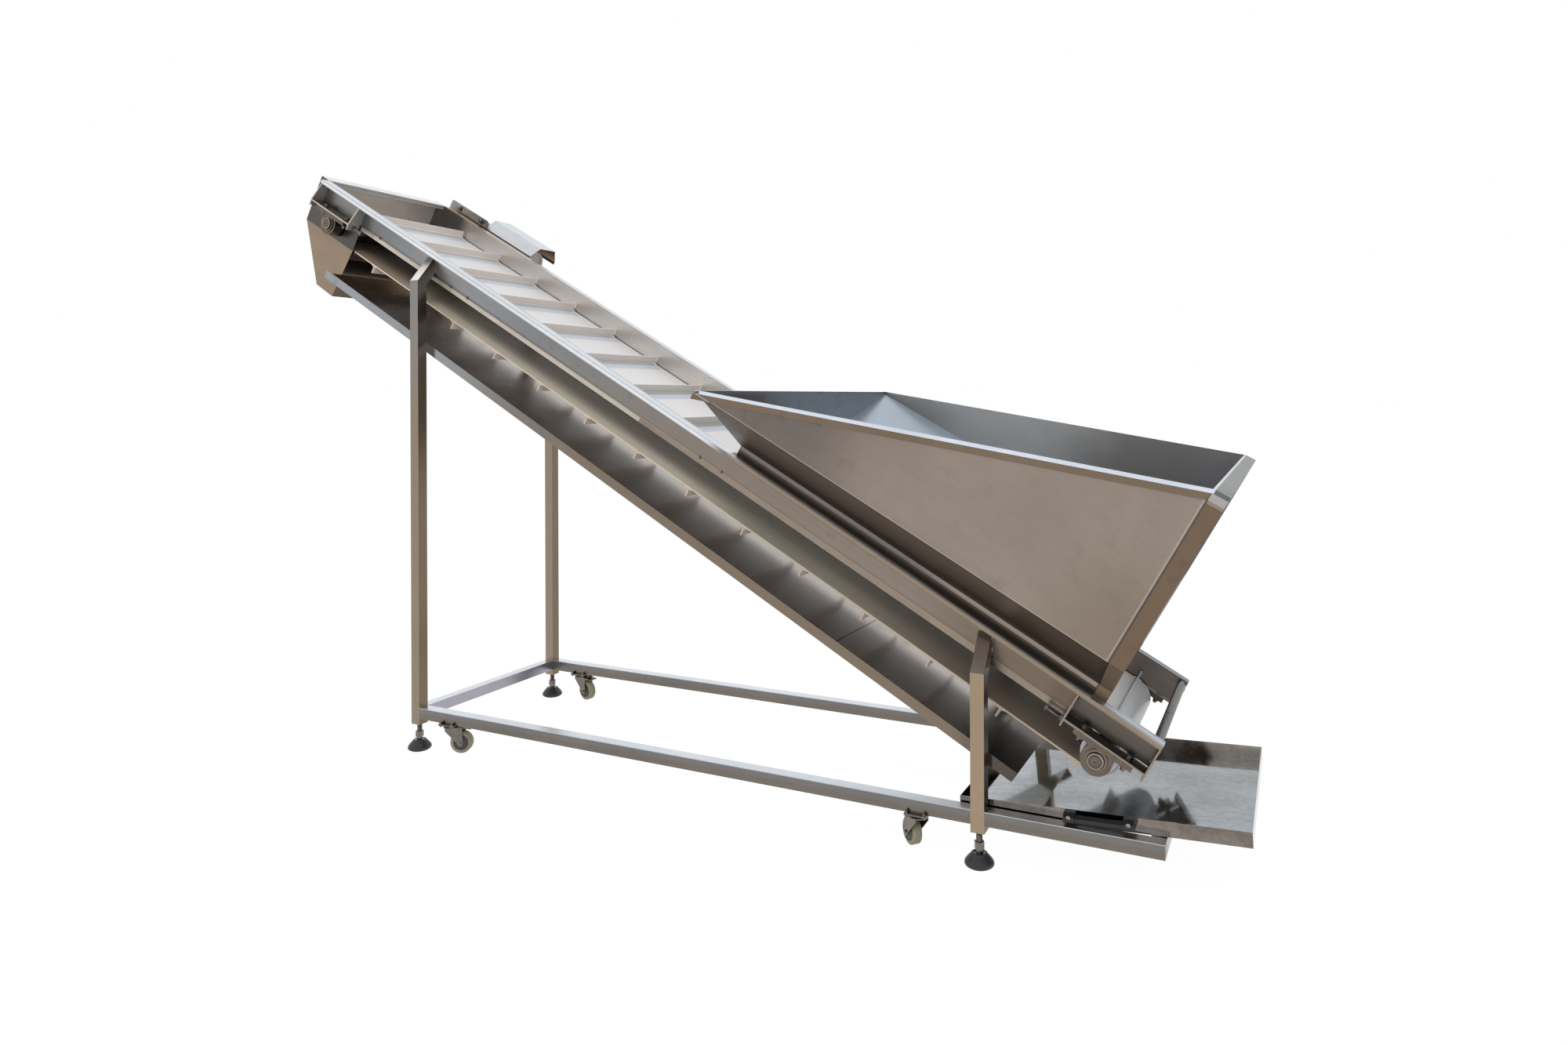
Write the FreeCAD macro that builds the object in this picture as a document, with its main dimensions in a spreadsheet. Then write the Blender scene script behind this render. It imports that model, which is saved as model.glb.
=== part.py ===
"""Inclined flighted-belt conveyor with a feed hopper, on a stainless tube frame.

Millimetres, +Z up. The conveyor climbs towards -X: the hopper and the drip tray are
at +X, the discharge chute and the drive are at -X. The near side is -Y, the far side
+Y. The origin is at floor level, in the middle of the machine's length and width.
"""
import FreeCAD, Part
import math
import os

os.makedirs("parts", exist_ok=True)

Vector = FreeCAD.Vector
Placement = FreeCAD.Placement
Rotation = FreeCAD.Rotation

# Driving dimensions: name, value, meaning
SIZES = (
    ("tube", 38, "frame tube, outside"),
    ("tube_wall", 2, "frame tube wall"),
    ("frame_width", 730, "outside of the near posts to outside of the far posts"),
    ("post_spacing", 2060, "left face of the head posts to left face of the tail posts"),
    ("rail_length", 2554, "left face of the head posts to the rails' tail end"),
    ("rail_bottom", 115, "underside of the base rails above the floor"),
    ("post_bottom", 93, "underside of the posts above the floor"),
    ("arm_lean", 40, "degrees that a post's arm leans inward from upright"),
    ("arm_drop", 133, "side plate's lip down to the bend of a post"),
    ("incline", 29.16, "slope of the belt, degrees"),
    ("tail_x", 2546, "tail end of the side plates, from the head posts' left face"),
    ("tail_height", 379, "tail end of the side plates' lip above the floor"),
    ("plate_length", 3507, "side plate along the slope"),
    ("plate_gap", 564, "clear width between the side plates"),
    ("plate_sheet", 3, "side plate sheet"),
    ("plate_depth", 80, "side plate's lip down to its lower edge"),
    ("lip_width", 35, "side plate's top lip, outward"),
    ("lip_drop", 15, "side plate's lip, down-turned edge"),
    ("lip_bend", 6, "side plate's lip, bend round its outer edge"),
    ("belt_width", 546, "belt across the machine"),
    ("belt_thickness", 5, "belt without flights"),
    ("belt_radius", 56, "outside of the belt round a drum"),
    ("tail_shaft", 116, "tail shaft up the slope from the plates' tail end"),
    ("head_shaft_back", 122, "head shaft back down the slope from the plates' head end"),
    ("shaft_radius", 15, "both shafts"),
    ("shaft_window", 8, "holes that a shaft passes, clear of it"),
    ("flight_count", 30, "flights round the belt"),
    ("flight_start", 1619.6, "a flight of the carrying run, up the slope from the tail shaft"),
    ("flight_height", 28, "flight above the belt"),
    ("flight_thickness", 5, "flight's web"),
    ("flight_foot", 26, "flight's foot along the belt"),
    ("flight_foot_height", 3, "flight's foot above the belt"),
    ("flight_root", 1, "flight welded into the belt's cover"),
    ("bed_sheet", 2, "slider bed sheet"),
    ("bed_flange", 16, "slider bed's down-turned side flange"),
    ("drum_wall", 4, "drum shell"),
    ("drum_play", 0.3, "belt's inside clear of a drum"),
    ("shelf_width", 50, "bearing bracket's shelf, outward"),
    ("shelf_length", 236, "bearing bracket along the slope"),
    ("shelf_sheet", 5, "bearing bracket sheet"),
    ("shelf_drop", 88, "underside of the shelf below the lip"),
    ("gusset_foot", 18, "gusset below the shelf's underside"),
    ("gusset_gap", 1, "gusset's top below the lip's down-turned edge"),
    ("bearing_rise", 42.9, "bearing base to shaft centre"),
    ("bearing_base", 165, "bearing base length"),
    ("bearing_base_width", 46, "bearing base across"),
    ("bearing_base_height", 15, "bearing foot thickness"),
    ("bearing_radius", 41, "bearing housing, outside"),
    ("bearing_width", 36, "bearing housing across"),
    ("bearing_neck", 61.5, "bearing's neck between foot and housing, along the slope"),
    ("bearing_inset", 2, "bearing's foot inward of the shelf's outer edge"),
    ("bearing_ring", 30, "rim round the bearing's outer face"),
    ("bearing_rim", 4, "rim round the bearing's outer face, thick and high"),
    ("sleeve_reach", 8, "bearing's inner ring beyond its housing"),
    ("sleeve_wall", 6, "bearing's inner ring"),
    ("shaft_recess", 1.5, "shaft end inside the bearing's inner ring"),
    ("screw_radius", 5, "take-up screw"),
    ("screw_play", 0.5, "take-up screw clear of its hole"),
    ("screw_reach", 45, "take-up screw beyond its gusset"),
    ("screw_nut", 9, "take-up screw's head and nut across corners, half"),
    ("screw_nut_height", 8, "take-up screw's head and nut"),
    ("bar_radius", 12.5, "tail cross bar"),
    ("bar_inset", 2, "tail cross bar inward of the plates' end and lip"),
    ("hopper_sheet", 2, "hopper sheet"),
    ("hopper_tail", 204, "hopper's tail wall up the slope"),
    ("hopper_head", 1430, "hopper's head wall up the slope"),
    ("hopper_width", 1324, "hopper across the outside of its side walls"),
    ("hopper_bend", 211, "hopper's bend line above the plates' lip"),
    ("hopper_collar", 30, "hopper's upright collar above the plates' lip"),
    ("rim_head_rise", 221, "hopper's rim above the lip line at its head wall"),
    ("rim_tail_rise", 659, "hopper's rim above the lip line at its tail wall"),
    ("rim_out", 9, "hopper's rim, outward"),
    ("rim_drop", 25, "hopper's rim, down-turned edge"),
    ("rim_fold", 1, "hopper's rim, underside of its fold below the sheet"),
    ("hopper_flange", 37, "tail wall's flange towards the tail"),
    ("pan_sheet", 2, "return pan sheet"),
    ("pan_drop", 318, "pan's underside below the lip line"),
    ("pan_lip", 30, "pan's side lips"),
    ("pan_tail", 263, "pan's tail end up the slope"),
    ("pan_floor_back", 231, "head end of the pan's floor, back from the plates' head end"),
    ("pan_lip_back", 203, "head end of the pan's side lips, back from the plates' head end"),
    ("chute_sheet", 2, "discharge chute sheet"),
    ("chute_reach", 50, "head wall of the chute beyond the plates' head end"),
    ("chute_back", 244, "rear wall of the chute, back from the plates' head end"),
    ("chute_bend", 183, "chute's bend line below the lip line"),
    ("belt_gap", 8, "rear wall of the chute below the flights that pass over it"),
    ("belt_side_gap", 2, "opening in the chute's rear wall beside the belt"),
    ("chute_lip_drop", 16, "down-turned edge of the chute's top lip"),
    ("outlet_front_in", 3, "outlet's front edge, inward of the chute's front bend"),
    ("outlet_rear_out", 166, "outlet's rear edge, outward of the chute's rear bend"),
    ("outlet_front_drop", 252, "outlet's front edge below the chute's front bend"),
    ("outlet_rear_drop", 160, "outlet's rear edge below the chute's rear bend"),
    ("outlet_inset", 40, "outlet's sides inward of the chute's cheeks"),
    ("motor_plate_sheet", 6, "drive's mounting plate"),
    ("motor_plate_reach", 27, "drive's mounting plate beyond the side plates' head end"),
    ("motor_plate_length", 242, "drive's mounting plate along the slope"),
    ("motor_plate_rise", 32, "drive's mounting plate above the lip line"),
    ("motor_plate_drop", 196, "drive's mounting plate below the lip line"),
    ("motor_plate_corner", 14, "drive's mounting plate, cut-off top corner"),
    ("slot_length", 26, "slots in the drive's mounting plate"),
    ("slot_height", 9, "slots in the drive's mounting plate"),
    ("slot_drop", 21, "underside of the slots below the mounting plate's top"),
    ("slot_from_head", 66, "middle of the first slot from the mounting plate's head end"),
    ("slot_from_tail", 46, "middle of the second slot from the mounting plate's tail end"),
    ("gearbox_width", 130, "gearbox across the machine"),
    ("gearbox_step", 8, "gearbox's housing inside its output boss, each side"),
    ("gearbox_corner", 16, "gearbox's rounded corners"),
    ("gearbox_boss", 51.2, "gearbox's output boss, radius"),
    ("gearbox_length", 128, "gearbox along the slope"),
    ("gearbox_above", 124, "gearbox above the drive shaft"),
    ("gearbox_below", 62, "gearbox below the drive shaft"),
    ("motor_rise", 86, "motor's axis above the drive shaft"),
    ("motor_radius", 60, "motor's fins"),
    ("motor_flange_step", 5, "gearbox's motor flange inside the motor's radius"),
    ("motor_flange", 14, "gearbox's motor flange, thickness"),
    ("motor_flange_root", 2, "gearbox's motor flange, within the housing"),
    ("motor_length", 262, "motor with its fan cowl"),
    ("cowl_length", 62, "motor's fan cowl"),
    ("cowl_step", 2, "motor's fan cowl inside the fins' radius"),
    ("cowl_rim", 14, "rim round the fan cowl's dished end"),
    ("cowl_dish", 4, "depth of the fan cowl's dished end"),
    ("terminal_length", 90, "motor's terminal box along the slope"),
    ("terminal_height", 76, "motor's terminal box, square to the slope"),
    ("terminal_depth", 34, "motor's terminal box, outward"),
    ("motor_fins", 24, "cooling fins round the motor"),
    ("fin_depth", 7, "fin height"),
    ("fin_width", 3, "fin thickness"),
    ("fin_root", 4, "fin within the motor's core"),
    ("fin_start", 12, "fins from the motor's flange"),
    ("fin_stop", 8, "fins before the fan cowl"),
    ("cover_back", 201, "motor guard's head end, back from the side plates' head end"),
    ("cover_length", 290, "motor guard along the slope"),
    ("cover_top", 41, "motor guard's top above the lip line"),
    ("cover_flat_width", 90, "motor guard's top flat"),
    ("cover_chamfer", 41, "motor guard's sloping faces"),
    ("cover_side", 58, "motor guard's upright near side"),
    ("cover_far_run", 24, "motor guard's far slope, outwards"),
    ("cover_far_drop", 47, "motor guard's far slope, downwards"),
    ("cover_far_side", 12, "motor guard's upright far side"),
    ("cover_sheet", 2, "motor guard sheet"),
    ("foot_pad_radius", 40, "levelling foot's pad"),
    ("foot_pad_height", 36, "levelling foot's pad"),
    ("foot_pad_skirt", 10, "levelling pad's widest ring above the floor"),
    ("foot_neck_radius", 21, "levelling foot's pad at its top"),
    ("foot_dish_radius", 18, "steel dish in the pad's top"),
    ("foot_dish_depth", 2, "steel dish in the pad's top"),
    ("spindle_radius", 8, "levelling foot's spindle"),
    ("seat_step", 2, "ball seat's hexagon beyond the spindle"),
    ("nut_radius", 14, "levelling foot's lock nut across corners"),
    ("nut_height", 20, "levelling foot's lock nut"),
    ("nut_rise", 12, "levelling foot's lock nut above the pad's dish"),
    ("caster_from_head", 137, "caster's swivel axis from the head post"),
    ("caster_from_tail", 153, "caster's swivel axis from the tail post"),
    ("caster_plate", 64, "caster's top plate, square"),
    ("caster_plate_sheet", 4, "caster's top plate"),
    ("race_radius", 24, "caster's bearing race"),
    ("race_height", 7, "caster's bearing race"),
    ("race_taper", 3, "caster's bearing race, narrower at its underside"),
    ("kingpin_radius", 5, "caster's kingpin"),
    ("swivel_play", 0.3, "fork's top below the race"),
    ("pin_play", 0.05, "running clearance round kingpins and axles"),
    ("fork_sheet", 3, "caster fork sheet"),
    ("fork_gap", 36, "between a fork's cheeks"),
    ("fork_disc_rim", 4, "fork's top disc beyond the race"),
    ("fork_front", 18, "fork ahead of the swivel axis"),
    ("fork_front_height", 12, "fork's cheek at its front edge"),
    ("fork_back", 6, "fork's crown behind the wheel axle"),
    ("fork_back_height", 14, "fork's cheek at its back edge"),
    ("fork_eye", 10, "fork's cheek either side of the wheel axle"),
    ("fork_eye_drop", 11, "fork's cheek below the wheel axle"),
    ("fork_eye_slant", 2, "fork's cheek, front corner of the eye below the axle"),
    ("axle_head", 4, "axle bolt beyond the fork's cheeks"),
    ("pedal_length", 34, "brake pedal"),
    ("pedal_slope", 8, "degrees that the brake pedal points down"),
    ("pedal_from_axle", 2, "brake pedal's root behind the wheel axle"),
    ("trail", 35, "wheel axle from the swivel axis"),
    ("wheel_radius", 37.5, "caster tyre"),
    ("wheel_width", 28, "caster tyre"),
    ("hub_radius", 26, "caster wheel's core"),
    ("hub_width", 34, "caster wheel's core at its bore"),
    ("boss_radius", 9, "caster wheel's core, flat round its bore"),
    ("hub_dish", 3, "caster wheel's core set back from the tyre"),
    ("tyre_shoulder", 4, "caster tyre's sloping shoulder"),
    ("axle_radius", 4, "caster axle"),
    ("wheel_lift", 12, "tyre's lowest point above the floor"),
    ("tray_length", 732, "drip tray"),
    ("tray_width", 640, "drip tray"),
    ("tray_depth", 38, "drip tray"),
    ("tray_sheet", 1.5, "drip tray sheet"),
    ("tray_overlap", 41, "drip tray's left end, before the tail posts' left face"),
    ("tray_seat", 0.3, "drip tray's seat above the cross tubes"),
    ("handle_length", 176, "tray handle"),
    ("handle_reach", 34, "tray handle, outward"),
    ("handle_height", 24, "tray handle"),
    ("handle_chamfer", 9, "tray handle's sloping top face, down"),
    ("handle_slope_run", 13.5, "tray handle's sloping top face, inward"),
    ("handle_edge", 2, "tray handle's bevelled lower edge"),
    ("handle_step", 3, "tray handle's grip, lower and further back than its feet"),
    ("handle_rise", 15, "tray handle above the tray's underside"),
    ("handle_from_left", 285, "tray handle's left end from the tray's left end"),
    ("handle_hole", 120, "finger gap behind the tray handle"),
    ("handle_bar", 12, "tray handle's grip, outward thickness"),
)

doc = FreeCAD.newDocument("Conveyor")
sheet = doc.addObject("Spreadsheet::Sheet", "Sizes")
size = {}
for row, (name, value, meaning) in enumerate(SIZES, 1):
    sheet.set(f"A{row}", meaning)
    sheet.set(f"B{row}", str(value))
    sheet.setAlias(f"B{row}", name)
    size[name] = value
doc.recompute()

nodes = {}


def keep(label, item):
    """Name an object as one sub-part of the machine."""
    item.Label = label
    nodes[label] = item
    return item


def bound(kind, name, **cells):
    """A Part primitive whose sizes are formulas of the sheet's cells."""
    item = doc.addObject(kind, name)
    for prop, formula in cells.items():
        item.setExpression(prop, formula)
    return item


def boolean(kind, name, first, second):
    """A Part::Cut, Part::Fuse or Part::Common of two objects."""
    item = doc.addObject(kind, name)
    if kind == "Part::Cut":
        item.Base = first
        item.Tool = second
    else:
        item.Shapes = [first] + list(second)
    return item


def shaped(label, shape, place=None):
    """A sub-part whose shape is worked out in code."""
    item = doc.addObject("Part::Feature", label)
    item.Shape = shape
    if place is not None:
        item.Placement = place
    return keep(label, item)


def loop_sketch(body, plane_role, name, loops):
    """A sketch on one of the body's own origin planes, one closed polygon per loop."""
    sketch = body.newObject("Sketcher::SketchObject", name)
    plane = [f for f in body.Origin.OriginFeatures if f.Role == plane_role][0]
    sketch.AttachmentSupport = [(plane, "")]
    sketch.MapMode = "FlatFace"
    for points in loops:
        for start, end in zip(points, points[1:] + points[:1]):
            sketch.addGeometry(Part.LineSegment(Vector(*start, 0), Vector(*end, 0)), False)
    return sketch


def padded(label, plane_role, loops, length, place, is_node=True):
    """A PartDesign body: one sketch padded by a formula of the sheet's cells."""
    body = doc.addObject("PartDesign::Body", label)
    sketch = loop_sketch(body, plane_role, label + "_profile", loops)
    pad = body.newObject("PartDesign::Pad", label + "_pad")
    pad.Profile = sketch
    pad.setExpression("Length", length)
    body.Tip = pad
    body.Placement = place
    return keep(label, body) if is_node else body


def prism(points, direction):
    """A solid: a flat polygon pushed along a vector."""
    wire = Part.makePolygon(points + [points[0]])
    return Part.Face(wire).extrude(direction)


def mirrored(points):
    """A half outline followed by its mirror image about the vertical axis."""
    return points + [(-x, y) for x, y in reversed(points)]


# Places worked out from the driving dimensions
slope = math.radians(size["incline"])
half_frame = size["frame_width"] / 2
plate_face = size["plate_gap"] / 2 + size["plate_sheet"]
half_hopper = size["hopper_width"] / 2
rail_top = size["rail_bottom"] + size["tube"]
shaft_drop = size["shelf_drop"] + size["bearing_rise"]
head_shaft = size["plate_length"] - size["head_shaft_back"]
chute_head = size["plate_length"] + size["chute_reach"]
chute_tail = size["plate_length"] - size["chute_back"]
corner_x = size["tail_x"] - chute_head * math.cos(slope) - size["chute_bend"] * math.sin(slope)
left_end = corner_x + min(0, size["outlet_front_in"])
tray_start_z = size["post_bottom"] + size["tube"] + size["tray_seat"]
tray_run = size["rail_length"] - size["tube"] - (size["post_spacing"] + size["tube"])
tray_tilt = math.atan2(rail_top - size["post_bottom"] - size["tube"], tray_run + size["tube"])
tray_left = size["post_spacing"] - size["tray_overlap"]
tray_right = tray_left + size["tray_length"] * math.cos(tray_tilt)
centre_x = (left_end + tray_right) / 2
origin = Vector(-centre_x, 0, 0)


def machine(x, y, z, rotation=None):
    """Placement from the head posts' left face, the middle and the floor."""
    return Placement(origin + Vector(x, y, z), rotation or Rotation())


conveyor = machine(size["tail_x"], 0, size["tail_height"], Rotation(Vector(0, 1, 0), size["incline"]))


def on_slope(up=0, y=0, rise=0, rotation=None):
    """Placement up the slope from the plates' tail end, with rise square to the belt."""
    return conveyor.multiply(Placement(Vector(-up, y, rise), rotation or Rotation()))


def lip_height(x):
    """Height of the side plates' lip above the floor at a distance along the frame."""
    return size["tail_height"] + (size["tail_x"] - x) * math.tan(slope)


SIDES = (("near", -1), ("far", 1))
ENDS = (("head", 0), ("tail", size["post_spacing"]))
inner_tube = size["tube"] - 2 * size["tube_wall"]


# Base rails and cross tubes
def square_tube(label, start, length, along, cap=""):
    """A square tube from its low corner, along X or Y, with an end plate where a cap is named."""
    long_side, across = ("Length", "Width") if along == "X" else ("Width", "Length")
    outer = bound("Part::Box", label + "_outside", **{
        long_side: length, across: "Sizes.tube", "Height": "Sizes.tube"})
    inner = bound("Part::Box", label + "_inside", **{
        long_side: length + cap, across: "Sizes.tube - 2 * Sizes.tube_wall",
        "Height": "Sizes.tube - 2 * Sizes.tube_wall"})
    wall = size["tube_wall"]
    inner.Placement.Base = Vector(0, wall, wall) if along == "X" else Vector(wall, 0, wall)
    tube = boolean("Part::Cut", label, outer, inner)
    tube.Placement = machine(*start)
    return keep(label, tube)


for side, sign in SIDES:
    rail_y = -half_frame if sign < 0 else half_frame - size["tube"]
    square_tube(f"base_rail_{side}", (size["tube"], rail_y, size["rail_bottom"]),
                "Sizes.post_spacing - Sizes.tube", "X")
    square_tube(f"tail_rail_{side}", (size["post_spacing"] + size["tube"], rail_y, size["rail_bottom"]),
                "Sizes.rail_length - Sizes.post_spacing - Sizes.tube", "X", " - Sizes.tube_wall")

# Cross tubes: name, left face, underside
CROSS_TUBES = (
    ("cross_tube_head", 0, size["rail_bottom"]),
    ("cross_tube_tail", size["post_spacing"], size["post_bottom"]),
    ("cross_tube_end", size["rail_length"] - size["tube"], size["rail_bottom"]),
)
for label, left, bottom in CROSS_TUBES:
    square_tube(label, (left, size["tube"] - half_frame, bottom), "Sizes.frame_width - 2 * Sizes.tube", "Y")


# Posts, each with a mitred arm that leans in to the side plate
def post_outline(face, width, bend, bottom):
    """Side outline in Y and Z of a post: upright leg, mitre and leaning arm cut upright at the plate."""
    lean = math.radians(size["arm_lean"])
    reach = half_frame - plate_face
    outer = (half_frame - face) * -1
    inner = outer + width
    outer_bend = bend - face * math.tan(lean / 2)
    inner_bend = outer_bend - width * math.tan(lean / 2)
    end = -half_frame + reach
    outer_top = outer_bend + (end - outer) / math.tan(lean)
    inner_top = inner_bend + (end - inner) / math.tan(lean)
    return [(outer, bottom), (inner, bottom), (inner, inner_bend), (end, inner_top),
            (end, outer_top), (outer, outer_bend)]


for end, left in ENDS:
    bend = lip_height(left) - size["arm_drop"]
    for side, sign in SIDES:
        label = f"post_{end}_{side}"
        turn = Rotation() if sign < 0 else Rotation(Vector(0, 0, 1), 180)
        shift = 0 if sign < 0 else size["tube"]
        outside = padded(label + "_outside", "YZ_Plane",
                         [post_outline(0, size["tube"], bend, size["post_bottom"])],
                         "Sizes.tube", machine(left + shift, 0, 0, turn), is_node=False)
        inner_bottom = size["post_bottom"] + size["tube_wall"]
        hollow = padded(label + "_hollow", "YZ_Plane",
                        [post_outline(size["tube_wall"], inner_tube, bend, inner_bottom)],
                        "Sizes.tube - 2 * Sizes.tube_wall",
                        machine(left + shift - (-1 if sign < 0 else 1) * size["tube_wall"], 0, 0, turn),
                        is_node=False)
        keep(label, boolean("Part::Cut", label, outside, hollow))


# Side plates with their top lips, bent in small flats
BEND_ANGLES = (0, 22.5, 45, 67.5, 90)


def plate_profile(sign):
    """Cross-section of a side plate: web, top lip and down-turned edge."""
    inner = size["plate_gap"] / 2
    outer = plate_face + size["lip_width"]
    sheet_gauge = size["plate_sheet"]
    points = [(inner, -size["plate_depth"]), (plate_face, -size["plate_depth"]), (plate_face, -sheet_gauge),
              (outer - sheet_gauge, -sheet_gauge), (outer - sheet_gauge, -size["lip_drop"]),
              (outer, -size["lip_drop"])]
    bend = size["lip_bend"]
    for angle in BEND_ANGLES:
        turn = math.radians(angle)
        points.append((outer - bend + bend * math.cos(turn), -bend + bend * math.sin(turn)))
    points.append((inner, 0))
    return [(sign * y, z) for y, z in points]


for side, sign in SIDES:
    padded(f"side_plate_{side}", "YZ_Plane", [plate_profile(sign)], "Sizes.plate_length",
           on_slope(size["plate_length"]))

# Slider bed under the carrying run
belt_top = size["belt_radius"] - shaft_drop
belt_under = -size["belt_radius"] - shaft_drop
bed_top = belt_top - size["belt_thickness"]
bed_half = size["plate_gap"] / 2
bed_profile = mirrored([(-bed_half, bed_top), (-bed_half, bed_top - size["bed_flange"]),
                        (-bed_half + size["bed_sheet"], bed_top - size["bed_flange"]),
                        (-bed_half + size["bed_sheet"], bed_top - size["bed_sheet"])])
bed_end = head_shaft - size["belt_radius"]
padded("slider_bed", "YZ_Plane", [bed_profile],
       "Sizes.plate_length - Sizes.head_shaft_back - Sizes.tail_shaft - 2 * Sizes.belt_radius",
       on_slope(bed_end))


# Belt loop with its flights
def loop_face(radius):
    """Flat oval in the side view: two runs joined by half circles round the shafts."""
    tail = Vector(-size["tail_shaft"], 0, -shaft_drop)
    head = Vector(-head_shaft, 0, -shaft_drop)
    up = Vector(0, 0, radius)
    edges = [
        Part.LineSegment(tail + up, head + up).toShape(),
        Part.Arc(head + up, head - Vector(radius, 0, 0), head - up).toShape(),
        Part.LineSegment(head - up, tail - up).toShape(),
        Part.Arc(tail - up, tail + Vector(radius, 0, 0), tail + up).toShape(),
    ]
    return Part.Face(Part.Wire(edges))


def flight_place(distance):
    """Point on the belt's outside and outward angle, at a distance round the loop."""
    run = head_shaft - size["tail_shaft"]
    turn = math.pi * size["belt_radius"]
    distance = distance % (2 * (run + turn))
    if distance < run:
        return -size["tail_shaft"] - distance, 0
    if distance < run + turn:
        return -head_shaft, -math.degrees((distance - run) / size["belt_radius"])
    if distance < 2 * run + turn:
        return -head_shaft + distance - run - turn, -180
    return -size["tail_shaft"], -180 - math.degrees((distance - 2 * run - turn) / size["belt_radius"])


def flight_shape(width):
    """One flight, standing on a belt whose outside lies a belt radius above the shaft line."""
    base = size["belt_radius"] - size["flight_root"]
    foot = size["flight_foot"] / 2
    web = size["flight_thickness"] / 2
    foot_top = size["belt_radius"] + size["flight_foot_height"]
    top = size["belt_radius"] + size["flight_height"]
    outline = mirrored([(-foot, base), (-foot, foot_top), (-web, foot_top), (-web, top)])
    points = [Vector(x, -width / 2, z) for x, z in outline]
    return prism(points, Vector(0, width, 0))


belt_half = Vector(0, size["belt_width"] / 2, 0)
belt_ring = loop_face(size["belt_radius"]).cut(loop_face(size["belt_radius"] - size["belt_thickness"]))
belt_solid = belt_ring.translated(-belt_half).extrude(2 * belt_half)
loop_length = 2 * (head_shaft - size["tail_shaft"] + math.pi * size["belt_radius"])
flights = []
for number in range(size["flight_count"]):
    along, angle = flight_place(size["flight_start"] + number * loop_length / size["flight_count"])
    flight = flight_shape(size["belt_width"])
    flight.Placement = Placement(Vector(along, 0, -shaft_drop), Rotation(Vector(0, 1, 0), angle))
    flights.append(flight)
shaped("belt", belt_solid.fuse(flights).removeSplitter(), conveyor)


# Drums on their shafts
def drum_shape(near_end, far_end):
    """Hollow drum with two end discs on a through shaft, along Y at the origin."""
    radius = size["belt_radius"] - size["belt_thickness"] - size["drum_play"]
    half = size["belt_width"] / 2
    shell = Part.makeCylinder(radius, 2 * half, Vector(0, -half, 0), Vector(0, 1, 0))
    hollow = Part.makeCylinder(radius - size["drum_wall"], 2 * half - 2 * size["drum_wall"],
                               Vector(0, size["drum_wall"] - half, 0), Vector(0, 1, 0))
    shaft = Part.makeCylinder(size["shaft_radius"], far_end - near_end,
                              Vector(0, near_end, 0), Vector(0, 1, 0))
    return shell.cut(hollow).fuse(shaft).removeSplitter()


bearing_y = plate_face + size["shelf_width"] - size["bearing_base_width"] / 2 - size["bearing_inset"]
stub_end = bearing_y + size["bearing_width"] / 2 + size["sleeve_reach"] - size["shaft_recess"]
motor_plate_y = plate_face + size["shelf_width"]
gearbox_y = motor_plate_y + size["motor_plate_sheet"]
shaped("tail_drum", drum_shape(-stub_end, stub_end), on_slope(size["tail_shaft"], 0, -shaft_drop))
shaped("drive_drum", drum_shape(-stub_end, gearbox_y), on_slope(head_shaft, 0, -shaft_drop))


# Pillow-block bearings, hung under the shelves
def bearing_shape(sign):
    """Housing with its foot uppermost, a raised rim and an inner ring outside, bored along Y."""
    rise = size["bearing_rise"]
    width = size["bearing_width"]
    outward = Vector(0, sign, 0)
    inner_face = Vector(0, -sign * width / 2, 0)
    outer_face = Vector(0, sign * width / 2, 0)
    body = Part.makeCylinder(size["bearing_radius"], width, inner_face, outward)
    foot = Part.makeBox(size["bearing_base"], size["bearing_base_width"], size["bearing_base_height"],
                        Vector(-size["bearing_base"] / 2, -size["bearing_base_width"] / 2,
                               rise - size["bearing_base_height"]))
    neck = Part.makeBox(size["bearing_neck"], width, rise,
                        Vector(-size["bearing_neck"] / 2, -width / 2, 0))
    rim = Part.makeCylinder(size["bearing_ring"], size["bearing_rim"], outer_face, outward)
    groove = Part.makeCylinder(size["bearing_ring"] - size["bearing_rim"], size["bearing_rim"],
                               outer_face, outward)
    sleeve_radius = size["shaft_radius"] + size["sleeve_wall"]
    sleeve = Part.makeCylinder(sleeve_radius, size["sleeve_reach"], outer_face, outward)
    bore = Part.makeCylinder(size["shaft_radius"] + size["pin_play"], 3 * width, 3 * inner_face, outward)
    return body.fuse([foot, neck, rim.cut(groove), sleeve]).cut(bore).removeSplitter()


for end, up in (("head", head_shaft), ("tail", size["tail_shaft"])):
    pair = [bearing_shape(sign).translated(Vector(0, sign * bearing_y, 0)) for side, sign in SIDES]
    shaped(f"{end}_bearings", Part.makeCompound(pair), on_slope(up, 0, -shaft_drop))


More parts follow.
